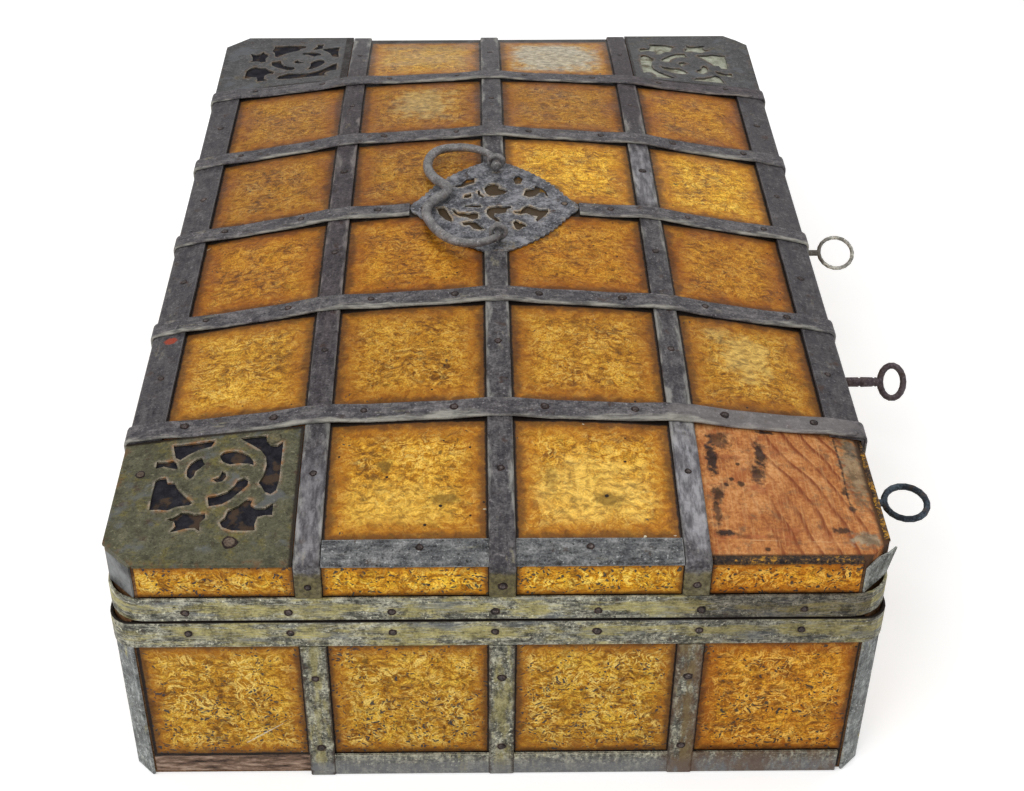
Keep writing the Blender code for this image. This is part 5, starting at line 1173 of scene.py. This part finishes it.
# Backing behind the pierced plates: cloth pasted on the board, dark blue-black in two corners and pale
# in one. It is a thin sheet that follows the dome under the plate.
def domed_backing(name, x_span, y_span, finish):
    """Sheet on the lid board, a little under the plate."""
    work = bmesh.new()
    steps = 16
    lift_low, lift_high = 0.00025, 0.00070
    sheets = []
    for lift in (lift_low, lift_high):
        grid = []
        for i in range(steps + 1):
            x = x_span[0] + (x_span[1] - x_span[0]) * i / steps
            row = []
            for j in range(steps + 1):
                y = y_span[0] + (y_span[1] - y_span[0]) * j / steps
                row.append(work.verts.new((x, y, dome(x, y) + lift)))
            grid.append(row)
        sheets.append(grid)
    low, high = sheets
    for i in range(steps):
        for j in range(steps):
            work.faces.new((high[i][j], high[i + 1][j], high[i + 1][j + 1], high[i][j + 1]))
            work.faces.new((low[i][j], low[i][j + 1], low[i + 1][j + 1], low[i + 1][j]))
    rim = [(i, 0) for i in range(steps)] + [(steps, j) for j in range(steps)]
    rim += [(i, steps) for i in range(steps, 0, -1)] + [(0, j) for j in range(steps, 0, -1)]
    for (i, j), (k, m) in zip(rim, rim[1:] + rim[:1]):
        work.faces.new((low[i][j], low[k][m], high[k][m], high[i][j]))
    return finish_piece(name, work, finish, "lid")


def backing_cloth(name, dark, pale, brown):
    """Pasted cloth, brown where the paste or the rust has come through."""
    finish = Finish(name, 0.9, 0.0)
    weave = finish.mottle(0.0007, detail=2)
    wear = finish.mottle(0.006, detail=5, rough=0.6)
    cloth = finish.tint(finish.fade(finish.scaled(weave, 0.5, wear), 0.5, 1.05), dark, pale)
    cloth = finish.tint(finish.fade(finish.mottle(0.011, detail=4), 0.53, 0.64, 0.0, 0.8), cloth, brown)
    finish.colour(cloth)
    finish.relief(weave, 0.0003)
    return finish


dark_cloth = backing_cloth("dark_backing", (0.007, 0.007, 0.010), (0.030, 0.029, 0.035),
                           (0.070, 0.045, 0.028))
pale_cloth = backing_cloth("pale_backing", (0.22, 0.225, 0.17), (0.52, 0.53, 0.43), (0.12, 0.10, 0.065))
BACKINGS = (
    ("backing_near_back", "corner_plate_near_back", dark_cloth),
    ("backing_far_back", "corner_plate_far_back", dark_cloth),
    ("backing_far_front", "corner_plate_far_front", pale_cloth),
)
BACKING_INSET = 0.004
BACKING_EDGE_INSET = 0.012
for backing_name, plate, cloth in BACKINGS:
    low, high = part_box(plate)
    spans = []
    for axis in (0, 1):
        insets = (BACKING_INSET, BACKING_EDGE_INSET)
        if high[axis] < 0:
            insets = insets[::-1]
        spans.append((low[axis] + insets[0], high[axis] - insets[1]))
    domed_backing(backing_name, *spans, cloth)


# Corner plates and the handle's plate: sheet iron pierced with a scroll of leaves, and bent over the edge.
# The cut edges are filed and show pale with rust; the near plate is olive, the far ones blue-grey.
PLATE_LIP = 0.0035
PLATE_MARGIN = 0.0080
DIAMOND_SHARE = 0.84
WORN_STEEL = (0.37, 0.37, 0.39)
WORN_COLD = (0.120, 0.130, 0.142)
# Painted highlight on the bend over the edge, dark and pale
BEND_HIGHLIGHT_DARK = (0.070, 0.073, 0.078)
BEND_HIGHLIGHT_PALE = (0.250, 0.258, 0.262)
PLATE_RUN = (0.006, 0.006, 0.006)


def pierced_iron(name, dark, pale, cut_edge, cut_rust, varnish, share, plates=(), diamond=None):
    """Pierced sheet. plates are the corner plates it covers: there only the openings have filed rims,
    the sheet has a painted black shadow beside the straps, and a painted grey highlight where it is bent
    down.
    diamond is the handle's plate, whose outer edge has no pale rim."""
    finish = strap_iron(name, PLATE_RUN, dark, pale, varnish, share, 0.2, 0.75 if diamond else 0.60)
    x, y, z = finish.parts_of(finish.place)
    speckle = finish.mottle(0.0019, detail=4, rough=0.65)
    iron = finish.tint(finish.fade(speckle, 0.48, 0.34, 0.0, 0.45), finish.iron, shaded(dark, 0.30))
    cold = finish.mottle(0.018, detail=5, rough=0.6)
    worn_cold = WORN_STEEL if diamond else WORN_COLD
    iron = finish.tint(finish.fade(cold, 0.54, 0.66, 0.0, 0.55), iron, worn_cold)
    chosen = finish.mottle(0.0085, detail=5, rough=0.65)
    halo = finish.times(finish.corners(0.0055), finish.fade(chosen, 0.50, 0.62))
    iron = finish.tint(finish.times(halo, 0.75), iron, shaded(cut_rust, 0.45))
    rim_colour = finish.tint(finish.fade(chosen, 0.50, 0.64), cut_edge, cut_rust)
    rims = finish.times(finish.corners(0.0032), finish.fade(chosen, 0.40, 0.56, 0.05, 0.85))
    if plates:
        inner = [max(min(abs(end[axis]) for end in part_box(plate)) for plate in plates) + PLATE_LIP
                 for axis in (0, 1)]
        from_x = edge_distance(finish, finish.reckon("ABSOLUTE", x), inner[0], HALF_W - PLATE_MARGIN)
        from_y = edge_distance(finish, finish.reckon("ABSOLUTE", y), inner[1], HALF_L - PLATE_MARGIN)
        inside = finish.reckon("GREATER_THAN", finish.least(from_x, from_y), 0.0)
        rims = finish.times(rims, inside)
        # Painted shadow: black beside the straps
        strap_shadow = [finish.minus(finish.reckon("ABSOLUTE", value), start)
                    for value, start in zip((x, y), inner)]
        strap_shadow = finish.least(*strap_shadow)
        strap_shadow = finish.scaled(speckle, 0.0016, strap_shadow)
        iron = finish.tint(finish.fade(strap_shadow, 0.0000, -0.0016, 0.0, 0.9), iron, PIT_AND_SHADOW_BLACK)
        # Painted highlight: the sheet grey and pale where it bends down over the edge
        lit_bend = finish.scaled(speckle, 0.0012, z)
        lit_bend = finish.fade(lit_bend, LID_EDGE - 0.0002, LID_EDGE - 0.0016)
        lit_bend_iron = finish.tint(finish.fade(cold, 0.36, 0.62), BEND_HIGHLIGHT_DARK, BEND_HIGHLIGHT_PALE)
        iron = finish.tint(finish.times(lit_bend, 0.85), iron, lit_bend_iron)
    if diamond:
        low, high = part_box(diamond)
        middle = (low + high) / 2
        half = (high - low) / 2
        shares = []
        for value, centre, reach in ((x, middle.x, half.x), (y, middle.y, half.y)):
            off = finish.reckon("ABSOLUTE", finish.minus(value, centre))
            shares.append(finish.reckon("DIVIDE", off, reach))
        within = finish.reckon("LESS_THAN", finish.plus(*shares), DIAMOND_SHARE)
        rims = finish.times(rims, within)
    finish.colour(finish.tint(rims, iron, rim_colour))
    return finish


near_plate_iron = pierced_iron("near_plate_iron", (0.078, 0.074, 0.044), (0.150, 0.142, 0.092),
                               (0.50, 0.41, 0.33), (0.40, 0.18, 0.07), (0.14, 0.120, 0.040), 0.40,
                               ("corner_plate_near_back",))
far_plate_iron = pierced_iron("far_plate_iron", (0.058, 0.056, 0.058), (0.140, 0.136, 0.136),
                              (0.26, 0.22, 0.17), (0.17, 0.10, 0.05), (0.11, 0.095, 0.060), 0.2,
                              ("corner_plate_far_back", "corner_plate_far_front"))
handle_plate_steel = pierced_iron("handle_plate_steel", (0.075, 0.076, 0.086), (0.270, 0.270, 0.288),
                                  (0.66, 0.57, 0.44), (0.46, 0.29, 0.11), (0.16, 0.13, 0.08), 0.15,
                                  diamond="handle_plate")
strip_iron = strap_iron("torn_strip_iron", (0.004, 0.004, 0.012), (0.15, 0.155, 0.140), (0.33, 0.34, 0.32),
                        OLIVE_VARNISH, 0.25)
dress(["corner_plate_near_back"], near_plate_iron, 0.0002)
dress(["lid_corner_strip"], strip_iron, 0.0002)
dress(["corner_plate_far_back", "corner_plate_far_front"], far_plate_iron, 0.0002)
dress(["handle_plate"], handle_plate_steel, 0.0002)

RIVET_PROFILE = ((1.0, -0.10), (1.0, 0.14), (0.80, 0.24), (0.62, 0.20), (0.30, 0.22))
BOSS_PROFILE = ((1.0, -0.10), (0.97, 0.05), (0.84, 0.14), (0.60, 0.21), (0.30, 0.25))
rivet_iron = strap_iron("rivet_iron", (0.002, 0.002, 0.002), (0.085, 0.062, 0.046), (0.220, 0.170, 0.130),
                        (0.12, 0.08, 0.05), 0.2, 0.2, 0.6)
boss_iron = strap_iron("boss_iron", (0.004, 0.004, 0.004), (0.078, 0.070, 0.042), (0.170, 0.150, 0.092),
                       (0.16, 0.120, 0.040), 0.40, 0.2, 0.6)
# Rivets in the near plate and the handle's plate: node, place and radius
RIVETS = (
    ("corner_plate_near_back", (-0.1470, -0.3080), 0.0032),
    ("corner_plate_near_back", (-0.2045, -0.2495), 0.0022),
    ("handle_plate", (0.0500, 0.0060), 0.0018),
    ("handle_plate", (-0.0460, 0.0010), 0.0018),
)
rivet_heads = bmesh.new()
rivet_seats = bmesh.new()
rivet_chance = random.Random(17)
DOWN = (0, 0, -1)
for plate, rivet_place, rivet_radius in RIVETS:
    place, normal = landing([plate], (*rivet_place, OUTSIDE), DOWN)
    add_button(rivet_heads, place, normal, rivet_radius, RIVET_PROFILE, 0.05, rivet_chance)
    add_button(rivet_seats, place, normal, rivet_radius * 0.85, SEAT_PROFILE, 0.12, rivet_chance)
# The rivets' dark rings too are rust and painted shadow
finish_piece("plate_rivet_seats", rivet_seats, nail_rust_and_shadow, "lid")
finish_piece("plate_rivets", rivet_heads, rivet_iron, "lid")
# A boss hammered up from the sheet at the inner corner of the near plate
BOSS = ((-0.1290, -0.2285), 0.0046)
plate_boss = bmesh.new()
place, normal = landing(["corner_plate_near_back"], (*BOSS[0], OUTSIDE), DOWN)
add_button(plate_boss, place, normal, BOSS[1], BOSS_PROFILE, 0.04, rivet_chance)
finish_piece("plate_boss", plate_boss, boss_iron, "lid")


# Straps on the lid: forged flat, bright along both edges with wear and a painted highlight, crossing each
# other with a small joggle.
# They are nailed through the tin, dark grey-blue on the flat and paler where hands and cloths rubbed them;
# the cross straps' near side is paler also by a painted highlight.
STRAP_DARK = (0.056, 0.051, 0.056)
STRAP_PALE = (0.142, 0.132, 0.136)
STRAP_VARNISH = (0.200, 0.185, 0.125)
STRAP_CONTRAST = 0.75
CROSS_SHARE = 1.22
LONG_WEAR = (0.25, 0.243, 0.225)
# Pale of the cross straps' near side: wear and painted highlight
CROSS_WEAR_AND_HIGHLIGHT = (0.29, 0.280, 0.245)
BRIGHT_DARK = (0.13, 0.125, 0.135)
BRIGHT_PALE = (0.42, 0.41, 0.43)
RUBBED_GREY = (0.30, 0.27, 0.26)
WAX_RED = (0.30, 0.055, 0.030)
BRIGHT_EDGE = (1.0, 0.008, 0.5)
SMOKE_EDGE = (0.5, 0.020, 0.3)
RUBBED_EDGE = (0.8, 0.010, 0.4)
WAX_EDGE = (0.4, 0.003, 0.2)


def worn_and_lit_side(finish, axis, straps, pitch, sign, shade, start, strength):
    """Makes one side of a strap paler, in streaks along it: rubbed wear, and a painted highlight on the near
    side of the cross straps;
    sign is the side, 0 for both, and start is how far from the middle the paler part begins."""
    value = finish.parts_of(finish.place)["XY".index(axis)]
    shifted = finish.minus(value, straps[1] - pitch / 2)
    centred = finish.minus(finish.reckon("FLOORED_MODULO", shifted, pitch), pitch / 2)
    share = finish.reckon("DIVIDE", centred, STRAP_HALF)
    share = finish.times(share, sign) if sign else finish.reckon("ABSOLUTE", share)
    patches = finish.mottle(0.050, detail=3)
    mixed = finish.plus(finish.marks, finish.scaled(patches, 3.0, share))
    worn_and_lit_iron = finish.tint(finish.fade(finish.marks, 0.35, 0.65), shaded(shade, 0.55), shaded(shade, 1.25))
    finish.iron = finish.tint(finish.fade(mixed, 2.2 + start, 3.2, 0.0, strength), finish.iron, worn_and_lit_iron)
    finish.colour(finish.iron)


long_strap_iron = strap_iron("long_strap_iron", ALONG_Y, STRAP_DARK, STRAP_PALE, STRAP_VARNISH, 0.05,
                             0.75, STRAP_CONTRAST)
worn_and_lit_side(long_strap_iron, "X", LONG_STRAPS, LONG_PITCH, 0, LONG_WEAR, 0.50, 0.80)
cross_strap_iron = strap_iron("cross_strap_iron", ALONG_X, shaded(STRAP_DARK, CROSS_SHARE),
                              shaded(STRAP_PALE, CROSS_SHARE), STRAP_VARNISH, 0.08,
                              0.75, STRAP_CONTRAST)
# The cross straps' near side: rubbed wear, and a painted highlight along their near edge
worn_and_lit_side(cross_strap_iron, "Y", CROSS_STRAPS, CROSS_PITCH, -1, CROSS_WEAR_AND_HIGHLIGHT, 0.40, 0.85)
# Straps rubbed bright near the front: middle, half sizes and strength
BRIGHT_WEAR = (
    ((LONG_STRAPS[2], -0.270), (0.009, 0.050), 0.70),
    ((LONG_STRAPS[2], 0.054), (0.009, 0.040), 0.50),
    ((LONG_STRAPS[0], -0.290), (0.009, 0.040), 0.35),
)
for centre, reach, strength in BRIGHT_WEAR:
    bright_iron = long_strap_iron.tint(long_strap_iron.fade(long_strap_iron.marks, 0.35, 0.65),
                                       BRIGHT_DARK, BRIGHT_PALE)
    long_strap_iron.iron = stain(long_strap_iron, long_strap_iron.iron, centre, reach, bright_iron,
                                 strength, BRIGHT_EDGE)
# Straps darkened by smoke and oil: finish, middle and half sizes
SMOKED_IRON = (0.75, 0.68, 0.70)
DARKENED = (
    (long_strap_iron, (LONG_STRAPS[0], 0.030), (0.012, 0.230)),
    (long_strap_iron, (LONG_STRAPS[2], 0.230), (0.012, 0.110)),
    (cross_strap_iron, (0.160, CROSS_STRAPS[4]), (0.060, 0.012)),
)
for finish, centre, reach in DARKENED:
    finish.iron = stain(finish, finish.iron, centre, reach, SMOKED_IRON, 1.0, SMOKE_EDGE, how="MULTIPLY")
cross_strap_iron.iron = stain(cross_strap_iron, cross_strap_iron.iron, (0.160, CROSS_STRAPS[0]),
                              (0.060, 0.012), RUBBED_GREY, 0.35, RUBBED_EDGE)
END_OLIVE = (0.200, 0.165, 0.060)
for finish in (long_strap_iron, cross_strap_iron):
    height = finish.parts_of(finish.place)[2]
    low = finish.scaled(finish.mottle(0.005, detail=4), 0.006, height)
    olive = finish.tint(finish.fade(finish.marks, 0.35, 0.65), shaded(END_OLIVE, 0.4), END_OLIVE)
    finish.iron = finish.tint(finish.fade(low, LID_EDGE, LID_EDGE - 0.005, 0.0, 0.75), finish.iron, olive)
    finish.colour(finish.iron)
edge_strap_iron = strap_iron("edge_strap_iron", ALONG_Y, STRAP_DARK, shaded(STRAP_PALE, 0.85), STRAP_VARNISH,
                             0.03, 0.6, STRAP_CONTRAST)
near_strip_iron = strap_iron("near_strip_iron", ALONG_X, (0.095, 0.096, 0.100), (0.21, 0.212, 0.21),
                             STRAP_VARNISH, 0.12)
WAX_SPOT = (-0.2050, -0.1200)
WAX_REACH = (0.0042, 0.0034)
edge_strap_iron.colour(stain(edge_strap_iron, edge_strap_iron.iron, WAX_SPOT, WAX_REACH, WAX_RED, 1.0,
                             WAX_EDGE, 0.03))
LONG_NAMES = ["lid_long_strap_back", "lid_long_strap_middle_near", "lid_long_strap_middle_far",
              "lid_long_strap_front"]
CROSS_NAMES = ["lid_cross_strap_1", "lid_cross_strap_2", "lid_cross_strap_3_back", "lid_cross_strap_3_front",
               "lid_cross_strap_4", "lid_cross_strap_5"]
dress(LONG_NAMES, long_strap_iron, WORN_EDGE)
dress(CROSS_NAMES, cross_strap_iron, WORN_EDGE)
dress(["lid_edge_strap_back", "lid_edge_strap_front"], edge_strap_iron, WORN_EDGE)
dress(["lid_near_edge_strip"], near_strip_iron, WORN_EDGE)
dress(["lid_band"], lid_band_iron, WORN_EDGE)

# Nails of the lid's irons, none under the handle's plate
HANDLE_REACH = 0.07
MIDDLE_REACH = 0.02
CROSS_NAIL_SHIFT = 0.0012
EDGE_NAILS = 0.2055
NEAR_STRIP_NAILS = -0.3135


def under_handle(across, along):
    return abs(across) < MIDDLE_REACH and abs(along) < HANDLE_REACH


lid_spots = []
for place in CROSS_STRAPS:
    for cell in (-1.5, -0.5, 0.5, 1.5):
        for quarter in (-0.25, 0.25):
            along = LONG_STRAPS[1] + (cell + quarter) * LONG_PITCH
            if not under_handle(place, along):
                lid_spots.append(landing(CROSS_NAMES, (along, place + CROSS_NAIL_SHIFT, OUTSIDE), DOWN))
for place in LONG_STRAPS:
    for cell in range(6):
        along = CROSS_STRAPS[0] + (cell - 0.44) * CROSS_PITCH
        if not under_handle(place, along):
            lid_spots.append(landing(LONG_NAMES, (place, along, OUTSIDE), DOWN))
for sign, name in ((-1, "lid_edge_strap_back"), (1, "lid_edge_strap_front")):
    for cell in range(4):
        along = CROSS_STRAPS[0] + (cell + 0.5) * CROSS_PITCH
        lid_spots.append(landing([name], (sign * EDGE_NAILS, along, OUTSIDE), DOWN))
for x in (-0.043, 0.050):
    lid_spots.append(landing(["lid_near_edge_strip"], (x, NEAR_STRIP_NAILS, OUTSIDE), DOWN))
RIM_NAILS = RIM_LOW + 0.0085
for wall, axis, _ in WALLS:
    lid_spots += wall_spots(["lid_band"], wall, [(along, LID_BAND_NAILS) for along in band_places(axis)])
    straps = LONG_STRAPS if axis == 1 else CROSS_STRAPS
    names = LONG_NAMES if axis == 1 else CROSS_NAMES
    lid_spots += wall_spots(names, wall, [(place, RIM_NAILS) for place in straps])
nail_group("lid_nails", lid_spots, NAIL_RADIUS, "lid", 23)


# Bail and its two eyes: round iron forged to two lobes and worn bright by hands, hung in eyes that are
# clinched through the lid.
bail_iron = strap_iron("bail_iron", (0.008, 0.008, 0.008), (0.150, 0.142, 0.142), (0.300, 0.285, 0.285),
                       (0.22, 0.18, 0.13), 0.05, 0.0, 0.6)
dress(["handle_bail", "handle_eye_near", "handle_eye_far"], bail_iron, shading=ROUND_SHADING)
rounding = nodes["handle_bail"].modifiers.new("rounding", "SUBSURF")
rounding.levels = 1
rounding.render_levels = 1
